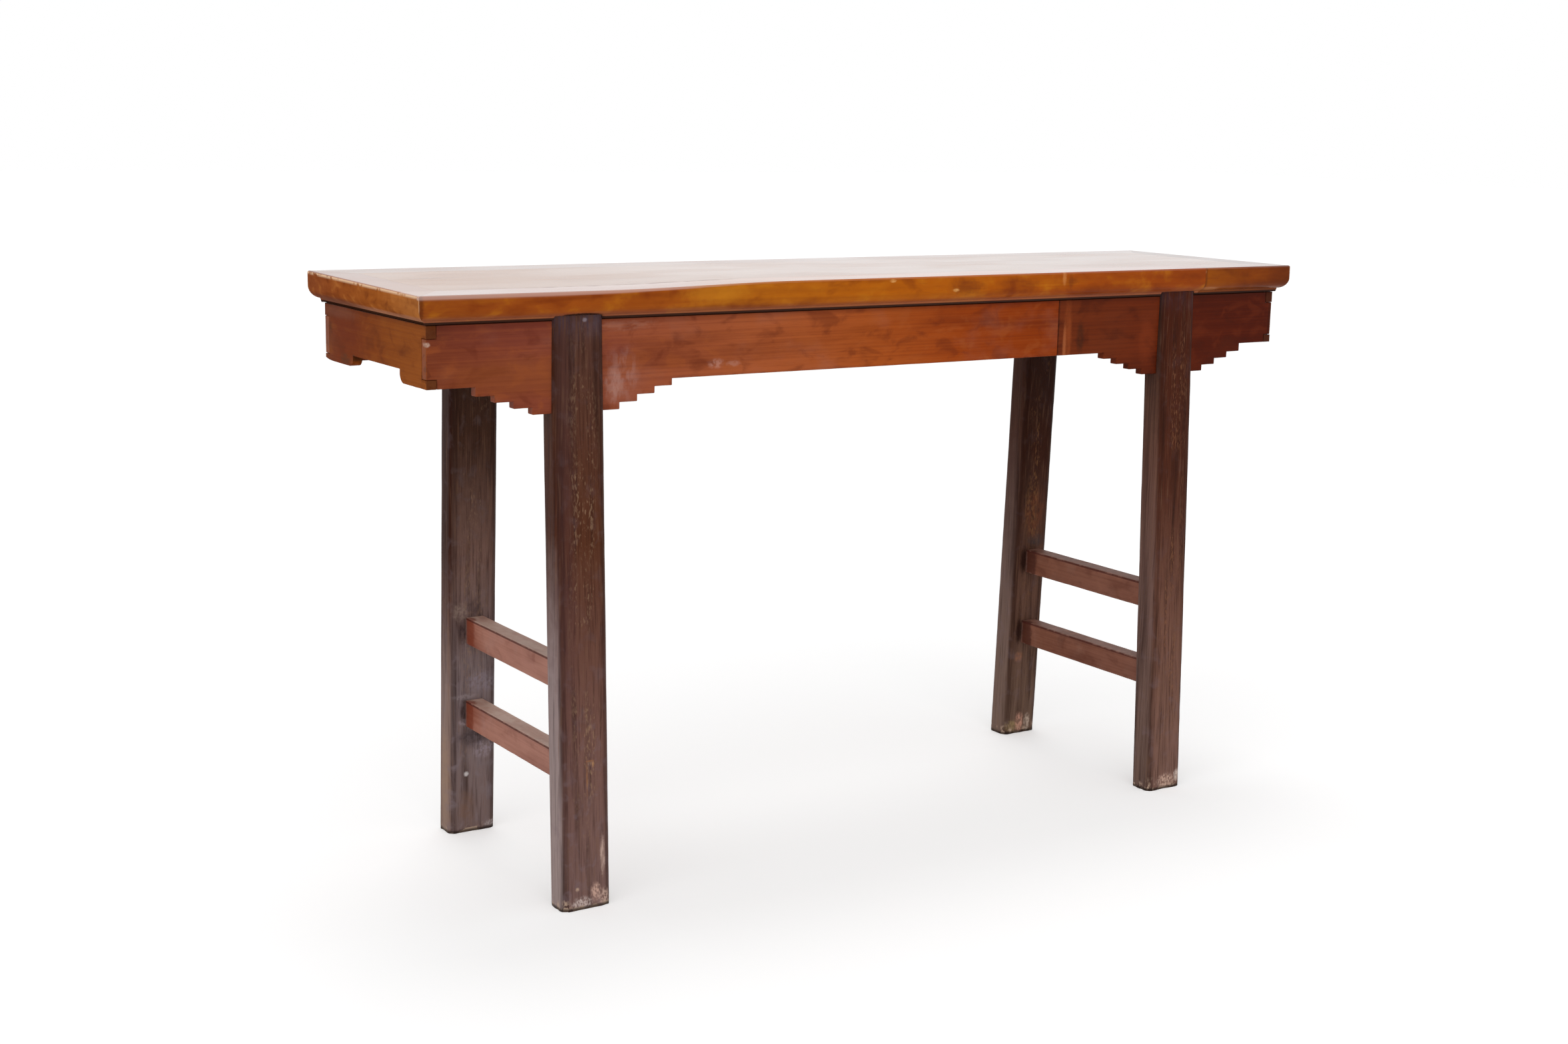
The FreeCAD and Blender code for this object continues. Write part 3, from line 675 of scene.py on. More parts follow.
endLook = {
    **amber, "along": 1, "seed": 5.6, "heart": (-0.7, 0, 0.76), "ringStep": 0.009, "patch": 44,
    "streak": (118, 56, 26), "glow": (196, 122, 60), "wander": 0.10, "rubbed": (246, 206, 168), "shine": 0.0,
    "gloss": 1.0, "flame": 0.65, "flameGrain": (40, 40, 50), "hollowReflectionTone": (186, 134, 108), "hollowReflection": 0.7,
    "rub": 0.9, "rubReach": 0.0014, "rubCover": 0.31, "arris": 1.0, "arrisReach": 0.0062,
    # The end member's colours, its streak and glow too, are greyed towards blue: a painted sheen over the
    # wood's own tone
    "stretches": [
        (-0.192, (178, 110, 56)), (-0.05, (170, 94, 38)), (0.10, (156, 82, 38)), (0.19, (146, 78, 44)),
    ],
    "marks": [
        slab((-0.77, 0.03, 0.8), (-0.7, 0.2, 0.82), (0.01, 0.05, 0.003), 0.7, (118, 68, 52)),
    ],
}
rightEndLook = {
    **endLook, "seed": 7.9, "heart": (0.7, 0, 0.76), "streak": (84, 36, 16), "glow": (156, 92, 44),
    "stretches": [(-0.192, (112, 50, 12)), (0.19, (112, 56, 28))], "marks": [], "hollowReflectionTone": (120, 66, 36),
}
frontBoardLook = {
    **amber, "along": 0, "seed": 8.4, "heart": (0, -0.07, 0.70), "ringStep": 0.013, "wave": 0.05,
    "patch": 16, "calm": 0.5, "gloss": 0.80, "dull": 0.26,
    "streak": (128, 66, 30), "glow": (186, 122, 60),
    "stretches": [(-0.71, (176, 112, 54)), (0.0, (164, 98, 44)), (0.71, (150, 86, 38))],
}
backBoardLook = {
    **frontBoardLook, "seed": 9.7, "heart": (0.2, 0.09, 0.68),
    "marks": [
        oval((-0.65, 0.035, 0.85), (0.05, 0.007, 0.01), 0.3, (110, 66, 50)),
    ],
}

roundCuts = (0.0008, 0.0018, 0.003, 0.0045, 0.006, 0.0078, 0.010, 0.014)
nearArris = [frontLine + inset for inset in (*roundCuts, 0.024, 0.040)]
underArris = [deskHigh - drop for drop in (*roundCuts, 0.019)]
memberCuts = steps(frontLine, -frontLine, 0.016)
stileGrid = {0: steps(leftLine, -leftLine, 0.022), 1: nearArris, 2: underArris}
memberGrid = {0: [leftLine + 0.006, -leftLine - 0.006], 1: memberCuts + nearArris, 2: underArris}
boardGrid = {0: steps(-0.71, 0.71, 0.04), 1: steps(-0.13, 0.13, 0.03)}
backGrid = {0: steps(leftLine, -leftLine, 0.03), 1: [0.14, 0.16, 0.18], 2: [0.84, 0.83]}

topPieces = (
    ("front_stile", "amberFrontStile", frontStileLook, stileGrid),
    ("front_stile_splice", "amberSplice", spliceLook, stileGrid),
    ("back_stile", "amberBackStile", backStileLook, backGrid),
    ("left_end_member", "amberLeftEnd", endLook, memberGrid),
    ("right_end_member", "amberRightEnd", rightEndLook, memberGrid),
    ("front_panel_board", "amberFrontBoard", frontBoardLook, boardGrid),
    ("back_panel_board", "amberBackBoard", backBoardLook, boardGrid),
)
for node, name, look, grid in topPieces:
    bevel, wear = topWear["bevel"], topWear["wear"]
    wearPiece(node, varnish(name, look), "amber_top", bevel, grid, wear, onRim, wornTop)
print("top made")


# Battens and corner pins, bare wood under the top


def bareWood(name, seed, along):
    look = {
        **stainBase, "along": along, "seed": seed, "heart": (0, 0, 0.72), "ringStep": 0.006,
        "wave": 0.02, "patch": 26, "lines": 260, "wander": 0.2,
        "streak": (104, 68, 42), "glow": (178, 138, 98), "rubbed": (190, 152, 112),
        "stretches": [(-1, (146, 104, 68)), (1, (138, 96, 62))], "dust": 0.3, "dustColour": (150, 128, 112),
        "roughness": 0.7,
    }
    return stain(name, look)


battenWear = {"bevel": 0.0008, "depth": 0.0003, "size": 0.04, "reach": 0.14, "cell": 0.014}


def makeBattens():
    form = battenWear
    cuts = {1: steps(-form["reach"], form["reach"], form["cell"])}
    for index, node in enumerate(("left_batten", "middle_batten", "right_batten")):
        material = bareWood("bare_" + node, 3.0 + index, 1)
        wear = (form["depth"], form["size"], 5.0 + index)
        wearPiece(node, material, "bare_wood", form["bevel"], cuts, wear, prefix="rough_")


def pinTree(material):
    # Pins at the corners of a rectangle
    shape = Shape("cornerPinTree", ("Pin Radius", "Pin Length", "Spread X", "Spread Y", "Middle Height"))
    given = shape.given
    grid = shape.add("GeometryNodeMeshGrid", inputs={
        "Size X": given["Spread X"], "Size Y": given["Spread Y"], "Vertices X": 2, "Vertices Y": 2,
    })
    pin = shape.add("GeometryNodeMeshCylinder", inputs={
        "Vertices": 20, "Radius": given["Pin Radius"], "Depth": given["Pin Length"],
    })
    spread = shape.add("GeometryNodeInstanceOnPoints", inputs={"Points": grid, "Instance": pin})
    lift = shape.point(z=given["Middle Height"])
    moved = shape.add("GeometryNodeTranslateInstances", inputs={"Instances": spread, "Translation": lift})
    shape.close(moved, material)
    return shape


def makePins():
    low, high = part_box("corner_pins")
    material = bareWood("barePins", 6.5, 2)
    radius = 0.003
    data = pinTree(material).bake("pins", {
        "Pin Radius": radius,
        "Pin Length": high.z - low.z,
        "Spread X": high.x - low.x - 2 * radius,
        "Spread Y": high.y - low.y - 2 * radius,
        "Middle Height": (low.z + high.z) / 2,
    })
    placePiece("locking_pins", data, material, "bare_wood", "corner_pins")


makeBattens()
makePins()
print("battens and pins made")


# Aprons


redApron = {
    **stainBase, "along": 0, "ringStep": 0.0055, "wave": 0.018, "patch": 22, "lines": 380,
    "wander": 0.22, "dust": 0.2,
    "streak": (96, 34, 18), "glow": (176, 92, 44), "rubbed": (92, 42, 20), "dustColour": (168, 118, 102),
    # where the painted shadow under the table top is darkest
    "topShadowFrom": 0.8046,
}
apronLeftLook = {
    **redApron, "seed": 11.2, "heart": (-0.2, -0.12, 0.70),
    "stretches": [
        (-0.747, (126, 60, 36)), (-0.62, (138, 68, 48)), (-0.46, (160, 84, 56)), (-0.25, (180, 94, 52)),
        (-0.05, (178, 86, 32)), (0.12, (160, 66, 14)), (0.30, (142, 54, 6)),
    ],
    "endGrain": {"axis": 0, "past": 0.7462, "strength": 0.8, "colour": (140, 70, 26)},
    "marks": [
        slab((-0.735, -0.175, 0.776), (-0.56, -0.17, 0.81), (0.02, 0.01, 0.012), 0.5, (104, 44, 42)),
        oval((-0.62, -0.173, 0.735), (0.1, 0.04, 0.024), 0.4, (150, 80, 38)),
        oval((-0.465, -0.173, 0.728), (0.022, 0.02, 0.034), 0.3, (192, 150, 140), 0.8, (130, 90, 60)),
        oval((-0.478, -0.173, 0.715), (0.012, 0.02, 0.02), 0.26, (204, 164, 152), 0.8, (200, 90, 80)),
        oval((-0.47, -0.173, 0.796), (0.05, 0.02, 0.006), 0.25, (190, 140, 120), 0.9, (50, 60, 200)),
        oval((-0.475, -0.173, 0.766), (0.02, 0.02, 0.014), 0.4, (104, 42, 44), 0.5, (60, 60, 90)),
        oval((-0.318, -0.173, 0.738), (0.012, 0.02, 0.006), 0.5, (206, 150, 132), 0.8, (150, 90, 160)),
        oval((-0.29, -0.173, 0.737), (0.01, 0.02, 0.004), 0.4, (196, 140, 122), 0.8, (150, 90, 160)),
        slab((-0.7475, -0.175, 0.786), (-0.716, -0.17, 0.808), (0.016, 0.01, 0.005), 0.7, (70, 34, 30), 0.4,
             (60, 60, 260)),
        slab((-0.7475, -0.175, 0.72), (-0.733, -0.17, 0.7362), (0.002, 0.01, 0.002), 0.85,
             (50, 28, 20), 0.3),
        oval((-0.7452, -0.173, 0.7815), (0.0032, 0.01, 0.0028), 0.7, (220, 186, 166), 0.4, (300, 200, 300)),
    ],
}
apronRightLook = {
    **redApron, "seed": 13.7, "heart": (0.5, -0.13, 0.69), "dust": 0.10,
    "streak": (64, 20, 8), "glow": (120, 48, 20), "dustColour": (124, 72, 54), "rubbed": (54, 20, 10),
    "stretches": [
        (0.293, (118, 50, 20)), (0.42, (112, 44, 16)), (0.50, (110, 42, 16)), (0.58, (86, 26, 6)),
        (0.747, (80, 22, 5)),
    ],
    "endGrain": {"axis": 0, "past": 0.7462, "strength": 0.5, "colour": (110, 54, 30)},
    "marks": [
        oval((0.312, -0.173, 0.752), (0.007, 0.02, 0.05), 0.5, (164, 80, 38), 0.4, (90, 60, 30)),
        oval((0.306, -0.173, 0.735), (0.003, 0.02, 0.03), 0.5, (190, 110, 66)),
        oval((0.338, -0.173, 0.748), (0.007, 0.02, 0.022), 0.6, (60, 32, 18), 0.4, (90, 60, 50)),
        oval((0.475, -0.173, 0.735), (0.014, 0.02, 0.03), 0.25, (150, 64, 30)),
        slab((0.7405, -0.175, 0.7), (0.7435, -0.17, 0.8025), (0.0008, 0.01, 0.002), 0.85, (30, 12, 8)),
        slab((0.7445, -0.175, 0.7), (0.76, -0.17, 0.8025), (0.0008, 0.01, 0.002), 0.7, (120, 86, 62)),
        slab((0.285, -0.175, 0.71), (0.2952, -0.17, 0.82), (0.0008, 0.01, 0.004), 0.8, (50, 26, 16)),
    ],
}
backApronLook = {
    **redApron, "seed": 15.1, "heart": (0.1, 0.12, 0.70), "ringStep": 0.006, "wave": 0.02, "dust": 0.15,
    "stretches": [(-0.747, (118, 58, 36)), (0.0, (128, 60, 32)), (0.747, (104, 46, 26))],
    "endGrain": {"axis": 0, "past": 0.7462, "strength": 0.5, "colour": (140, 76, 40)},
}
endApronLook = {
    **redApron, "along": 1, "seed": 17.3, "heart": (-0.7, 0.05, 0.70), "ringStep": 0.006, "wave": 0.022,
    "patch": 26, "streak": (98, 40, 8), "glow": (160, 88, 30), "dust": 0.06, "wander": 0.10, "shine": 0.01,
    "stretches": [
        (-0.173, (156, 84, 28)), (-0.06, (146, 74, 18)), (0.05, (126, 54, 12)), (0.12, (122, 52, 18)),
        (0.173, (124, 64, 36)),
    ],
    "endGrain": {"axis": 1, "past": 0.1722, "strength": 0.7, "colour": (76, 44, 32)},
    "marks": [
        slab((-0.75, 0.066, 0.72), (-0.72, 0.0735, 0.7435), (0.01, 0.001, 0.001), 0.75, (58, 38, 22)),
        oval((-0.747, 0.12, 0.798), (0.02, 0.06, 0.008), 0.4, (128, 80, 62)),
        oval((-0.747, 0.09, 0.775), (0.02, 0.05, 0.016), 0.4, (108, 40, 14)),
        oval((-0.747, 0.163, 0.749), (0.01, 0.004, 0.0035), 0.9, (220, 196, 176), 0.5, (300, 300, 300)),
        oval((-0.747, 0.155, 0.772), (0.01, 0.008, 0.01), 0.5, (66, 36, 24), 0.6, (120, 120, 120)),
        oval((-0.747, 0.1, 0.735), (0.01, 0.016, 0.007), 0.5, (72, 54, 34), 0.5, (120, 120, 200)),
    ],
}
rightEndApronLook = {
    **endApronLook, "seed": 19.9, "heart": (0.7, -0.05, 0.70), "streak": (66, 26, 14), "glow": (126, 62, 34),
    "stretches": [(-0.173, (92, 36, 18)), (0.173, (102, 44, 26))], "marks": [],
}

apronWear = {"bevel": 0.0010, "depth": 0.00022, "size": 0.07}
longGrid = {0: steps(-0.747, 0.747, 0.016), 2: steps(0.684, 0.806, 0.016)}
endGrid = {1: steps(-0.173, 0.173, 0.013), 2: steps(0.724, 0.806, 0.014)}
aprons = (
    ("front_apron_left_board", apronLeftLook, longGrid),
    ("front_apron_right_board", apronRightLook, longGrid),
    ("back_apron", backApronLook, longGrid),
    ("left_end_apron", endApronLook, endGrid),
    ("right_end_apron", rightEndApronLook, endGrid),
)
for node, look, grid in aprons:
    wear = (apronWear["depth"], apronWear["size"], look["seed"])
    wearPiece(node, stain("stained_" + node, look), "red_apron", apronWear["bevel"], grid, wear)
print("aprons made")


# Legs


legForm = {
    "cornerRadius": 0.012,
    "rings": 200,
    "around": 112,
    "straightShare": 7.0,     # how quickly a side takes up its full length, which keeps it flat
    "topY": 0.1585,           # how far the legs' heads stand from the middle
    "housingDepth": 0.0085,
    "slotGap": 0.0002,
    "mortiseThickness": 0.0124,
    "mortiseHeight": 0.0274,
    "mortiseReach": 0.06,
    "overrun": 0.01,
    "faceWear": 0.0005,
    "faceSize": 0.11,
    "grooveShare": 0.25,
    "grooveWidth": 0.004,
    "grooveLength": 0.09,
    "rimZone": 0.009,         # how near a corner line dents and chips are
    "dentDepth": 0.0012,
    "dentSize": 0.018,
    "dentFrom": 0.45,
    "chipHeight": 0.030,
    "chipDepth": 0.0016,
    "chipSize": 0.0085,
    "chipShare": 0.35,
    "chipFrom": 0.62,
    "chipGain": 3,
}


def legTree():
    # A rounded section carried up a straight line and leant over
    lengths = ("Width", "Depth", "Corner Radius", "Height", "Lean", "Foot X", "Foot Y", "Straightness")
    shape = Shape("legTree", lengths, ("Rings", "Around"))
    given = shape.given

    def side(axis, size):
        # A clamped and steepened cosine gives the straight, and the cosine itself the corner
        unit = shape.axis(axis)
        steep = (unit * given["Straightness"]).atLeast(-1).atMost(1)
        half = given[size] * 0.5 - given["Corner Radius"]
        return steep * half + unit * given["Corner Radius"]

    ring = shape.add("GeometryNodeCurvePrimitiveCircle", inputs={"Resolution": given["Around"], "Radius": 1})
    section = shape.add("GeometryNodeSetPosition", inputs={
        "Geometry": ring, "Position": shape.point(side(0, "Width"), side(1, "Depth")),
    })
    line = shape.add("GeometryNodeCurvePrimitiveLine", inputs={"End": shape.point(z=given["Height"])})
    divided = shape.add("GeometryNodeResampleCurve", inputs={"Curve": line, "Count": given["Rings"]})
    sweep = shape.add("GeometryNodeCurveToMesh", inputs={
        "Curve": divided, "Profile Curve": section, "Fill Caps": True,
    })
    shifted = given["Foot Y"] + shape.axis(2) * given["Lean"]
    shape.close(shape.add("GeometryNodeSetPosition", inputs={
        "Geometry": sweep, "Offset": shape.point(given["Foot X"], shifted),
    }))
    return shape


def blockMesh(name, boxes):
    # Closed blocks, each between two corners, as one mesh
    mesh = bmesh.new()
    for low, high in boxes:
        size = Vector(high) - Vector(low)
        middle = (Vector(high) + Vector(low)) / 2
        bmesh.ops.create_cube(mesh, size=1, matrix=Matrix.Translation(middle) @ Matrix.Diagonal((*size, 1)))
    data = bpy.data.meshes.new(name)
    mesh.to_mesh(data)
    mesh.free()
    return data


def carve(data, cutterData):
    # The first mesh less the second one
    base = bpy.data.objects.new("base", data)
    cutter = bpy.data.objects.new("cutter", cutterData)
    for item in (base, cutter):
        bpy.context.scene.collection.objects.link(item)
    modifier = base.modifiers.new("cut", "BOOLEAN")
    modifier.operation = "DIFFERENCE"
    modifier.solver = "EXACT"
    modifier.object = cutter
    bpy.context.view_layer.update()
    result = bpy.data.meshes.new_from_object(base.evaluated_get(bpy.context.evaluated_depsgraph_get()))
    for item in (base, cutter):
        bpy.data.objects.remove(item)
    return result


def legEdges(spot, foot, lean, width, depth):
    # How far a point lies from the leg's nearest corner line, the foot's rim counting as one
    across = width / 2 - abs(spot.x - foot.x)
    deep = depth / 2 - abs(spot.y - foot.y - lean * spot.z)
    return min(max(across, deep), spot.z + min(across, deep))


def legCuts(node, front, apron, stretchers):
    # The blocks cut out of a leg: the apron's slot and a mortise for each stretcher
    low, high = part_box(node)
    form = legForm
    gap = form["slotGap"]
    apronLow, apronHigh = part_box(apron)
    slotLow = (low.x - form["overrun"], apronLow.y - gap, apronLow.z - gap)
    cuts = [(slotLow, (high.x + form["overrun"], apronHigh.y + gap, deskHigh))]
    middleX = (low.x + high.x) / 2
    half, thick = form["mortiseHeight"] / 2, form["mortiseThickness"] / 2
    for stretcher in stretchers:
        railLow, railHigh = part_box(stretcher)
        middle = (railLow.z + railHigh.z) / 2
        reach = railHigh.y if front > 0 else railLow.y
        near, far = sorted((reach + front * gap, reach - front * form["mortiseReach"]))
        cuts.append(((middleX - thick, near, middle - half), (middleX + thick, far, middle + half)))
    return cuts


def wearLeg(piece, section, limits, seed):
    # Wears a leg's faces, dents and chips its corner lines, and stores where it did for the lacquer
    form = legForm
    low, high = limits
    groove = form["grooveWidth"]
    piece.normal_update()
    edgeLayer = piece.verts.layers.float.new("edgeDistance")
    chipLayer = piece.verts.layers.float.new("chip")
    sideLayer = piece.verts.layers.float.new("sideways")
    for vertex in piece.verts:
        spot = vertex.co
        rim = legEdges(spot, *section)
        vertex[edgeLayer] = max(0, rim)
        slow = noise.noise(spot / form["faceSize"] + Vector((seed, 0, 0))) * 0.5 + 0.5
        narrow = Vector((spot.x / groove, spot.y / groove, spot.z / form["grooveLength"]))
        push = form["faceWear"] * (slow + form["grooveShare"] * noise.noise(narrow + Vector((0, seed, 0))))
        nearRim = max(0, 1 - rim / form["rimZone"])
        dent = noise.noise(spot / form["dentSize"] + Vector((0, 0, seed))) * 0.5 + 0.5
        push += form["dentDepth"] * nearRim * max(0, dent - form["dentFrom"])
        nearFloor = max(0, 1 - spot.z / form["chipHeight"])
        bite = noise.noise(spot / form["chipSize"] + Vector((seed * 3, 0, 0))) * 0.5 + 0.5
        chip = max(0, bite * (form["chipShare"] + nearFloor) - form["chipFrom"]) * form["chipGain"]
        chip = min(1, chip) * nearRim if nearFloor > 0 else 0
        vertex[chipLayer] = chip
        push += form["chipDepth"] * chip
        level = Vector((vertex.normal.x, vertex.normal.y, 0))
        level = level.normalized() if level.length > 0.1 else level
        vertex[sideLayer] = abs(level.x)
        moved = spot - level * push
        vertex.co = [min(max(moved[axis], low[axis]), high[axis]) for axis in range(3)]


def makeLeg(node, look, shape, apron, stretchers):
    low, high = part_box(node)
    sole = [vertex.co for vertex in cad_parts[node].data.vertices if vertex.co.z < 0.0001]
    near, far = min(point.y for point in sole), max(point.y for point in sole)
    foot = Vector(((low.x + high.x) / 2, (near + far) / 2, 0))
    width, depth = high.x - low.x, far - near
    front = -1 if foot.y < 0 else 1
    lean = (legForm["topY"] * front - foot.y) / topLow.z
    slimLeft, slimRight = look["slim"]
    foot.x += (slimLeft - slimRight) / 2
    width -= slimLeft + slimRight
    mesh = shape.bake(node, {
        "Width": width, "Depth": depth, "Corner Radius": legForm["cornerRadius"],
        "Height": topLow.z + legForm["housingDepth"], "Lean": lean, "Foot X": foot.x, "Foot Y": foot.y,
        "Straightness": legForm["straightShare"], "Rings": legForm["rings"], "Around": legForm["around"],
    })
    piece = bmesh.new()
    piece.from_mesh(carve(mesh, blockMesh("cuts", legCuts(node, front, apron, stretchers))))
    wearLeg(piece, (foot, lean, width, depth), (low, high), look["seed"])
    finishPiece("worn_" + node, piece, lacquer("lacquer_" + node, look, foot), "dark_leg", node)


legHeights = {
    "sole": (0.0020, 0.0070),      # painted contact shadow, dark below this
    "footRim": (0.006, 0.026),     # bare wood below this
    "dusty": (0.10, 0.45),         # more dust below this
    "worn": (0.10, 0.80),          # rubbed streaks between these
    "topDust": (0.770, 0.812),
    "shadow": (0.8120, 0.8142),    # dark above this, under the top
}


def lacquer(name, look, foot):
    # Dark lacquer over upright grain: rubbed through in streaks, dusty, paler low down and chipped, with
    # painted light on its sides and painted shade on its corners, under the top and along its foot
    finish = Finish(name)
    seed = look["seed"]
    height = finish.axis(2)
    fine = finish.cloud((420, 420, 11), 4, seed, 0.15)
    broad = finish.cloud((90, 90, 3.2), 4, seed + 2, 0.3)
    specks = finish.cloud((420, 420, 130), 3, seed + 4)
    mottle = finish.cloud((60, 60, 46), 5, seed + 6, 0.5)

    def rise(stops):
        uneven = height + (mottle - 0.5) * 0.12
        return finish.ramp(uneven, [(place, tone(*colour)) for place, colour in stops])

    sideways = finish.worn("sideways")
    turning = finish.band(sideways, 0.12, 0.80, 0.12)
    dusty = finish.fade(mottle, 0.50, 0.74)
    low = 1 - finish.fade(height, *legHeights["dusty"])
    centre = 1 - finish.fade(abs(finish.axis(0) - foot.x), 0.008, 0.030)
    worn = finish.fade(broad * 0.45 + specks * 0.55, 0.52, 0.62) * centre
    worn = worn * finish.band(height, *legHeights["worn"], 0.10)
    worn = worn * finish.fade(finish.cloud((24, 24, 9), 3, seed + 9), 0.38, 0.60)
    topDust = finish.fade(mottle * 0.5 + fine * 0.5, 0.36, 0.60)
    topDust = topDust * finish.fade(height, *legHeights["topDust"])
    # Painted light: the side faces take their own colour ramp, lit differently from the front and back, and
    # the turning corners get painted shade
    colour = finish.mix(finish.fade(sideways, 0.55, 0.92), rise(look["front"]), rise(look["side"]))
    colour = finish.layers(colour, look, [
        (turning * look["cornerShade"], "dark"),
        (finish.fade(broad, 0.46, 0.74) * 0.65, "dark"),
        (finish.fade(fine, 0.48, 0.72) * 0.50, "dark"),
        (finish.fade(fine, 0.46, 0.26) * 0.42, "pale"),
        (dusty * (low * 0.7 + 0.3) * look["dust"], "dustColour"),
        (worn * look["rubbed"], "bare"),
        (topDust * look["topDust"], (92, 80, 94)),
        (finish.fade(height, *legHeights["shadow"]) * 0.85, (30, 18, 18)),
    ])
    colour = addMarks(finish, colour, look["marks"])
    patchy = finish.fade(finish.cloud((120, 120, 80), 5, seed + 12), 0.50, 0.66)
    nearEdge = 1 - finish.fade(finish.worn("edgeDistance"), 0.006, 0.016)
    footRim = (1 - finish.fade(height, *legHeights["footRim"])) * nearEdge * patchy
    raw = finish.fade(finish.worn("chip") + finish.cloud((300, 300, 180), 3, seed) * 0.2, 0.20, 0.36)
    colour = finish.layers(colour, look, [
        (footRim * look["rim"], "raw"),
        (raw * 0.75, "raw"),
        # painted contact shadow along the bottom of the foot
        ((1 - finish.fade(height, *legHeights["sole"])) * 0.85, (34, 24, 20)),
    ])
    rough = dusty * 0.15 + raw * 0.2 + 0.46
    bump = fine * 0.9 + specks * 0.3 + broad * 0.5 - raw * 1.0
    return finish.close(colour, rough, bump, 0.00030, 0.04)


darkLeg = {
    "dark": (44, 22, 16), "pale": (120, 88, 68), "bare": (166, 132, 104), "raw": (214, 184, 160),
    "dust": 0.35, "dustColour": (134, 116, 122), "rubbed": 0.5, "rim": 0.8,
    "cornerShade": 0.5, "topDust": 0.4,
    "slim": (0.0, 0.0),       # how much thinner the worn leg is at its left and its right
    # Colour ramps up the front and back faces and up the side faces; they differ by painted light
    "front": [(0.0, (132, 102, 96)), (0.25, (122, 86, 76)), (0.50, (92, 52, 34)), (0.82, (90, 58, 48))],
    "side": [(0.0, (166, 146, 142)), (0.30, (158, 138, 136)), (0.52, (82, 44, 28)), (0.82, (60, 34, 24))],
}
frontLeftLook = {
    **darkLeg, "seed": 21.0,
    "marks": [
        oval((-0.509, -0.205, 0.073), (0.0035, 0.02, 0.024), 0.65, (224, 192, 176), 0.6, (260, 260, 60)),
        oval((-0.52, -0.206, 0.022), (0.007, 0.02, 0.011), 0.85, (222, 182, 164), 0.8, (420, 420, 220)),
        oval((-0.5415, -0.207, 0.009), (0.014, 0.02, 0.008), 0.9, (222, 202, 194), 0.9, (420, 420, 260)),
        oval((-0.508, -0.207, 0.012), (0.008, 0.02, 0.012), 0.8, (214, 180, 164), 0.9, (420, 420, 260)),
        oval((-0.5485, -0.207, 0.03), (0.0026, 0.02, 0.0026), 0.6, (220, 186, 160), 0.5, (420, 420, 420)),
        oval((-0.556, -0.19, 0.47), (0.011, 0.03, 0.36), 0.3, (78, 50, 54), edge=0.8),
        oval((-0.5315, -0.201, 0.185), (0.0009, 0.02, 0.024), 0.5, (178, 120, 74), 0.5, (300, 300, 90)),
        oval((-0.5265, -0.201, 0.2085), (0.006, 0.02, 0.0012), 0.4, (178, 120, 74)),
        oval((-0.522, -0.201, 0.203), (0.0015, 0.02, 0.004), 0.5, (212, 156, 100), 0.4, (300, 300, 200)),
        # Painted highlight: a small pale dot on the leg's head
        oval((-0.5253, -0.18, 0.8065), (0.003, 0.02, 0.0026), 0.6, (160, 146, 156)),
    ],
}
frontRightLook = {
    **darkLeg, "seed": 23.5, "dust": 0.2, "rubbed": 0.4, "cornerShade": 0.3, "topDust": 0.15,
    "bare": (150, 100, 70), "slim": (0.0028, 0.0008),
    "front": [(0.0, (134, 100, 88)), (0.25, (122, 84, 70)), (0.50, (84, 44, 30)), (0.82, (72, 28, 12))],
    "side": [
        (0.0, (118, 94, 84)), (0.30, (118, 90, 82)), (0.55, (110, 76, 64)), (0.70, (70, 44, 34)),
        (0.82, (46, 24, 16)),
    ],
    "marks": [
        oval((0.478, -0.205, 0.018), (0.006, 0.03, 0.012), 0.8, (214, 188, 172), 0.8, (420, 420, 220)),
        oval((0.537, -0.206, 0.014), (0.016, 0.02, 0.011), 0.8, (220, 184, 164), 0.9, (420, 420, 220)),
        oval((0.56, -0.206, 0.02), (0.006, 0.02, 0.009), 0.8, (228, 208, 196), 0.7, (420, 420, 220)),
    ],
}
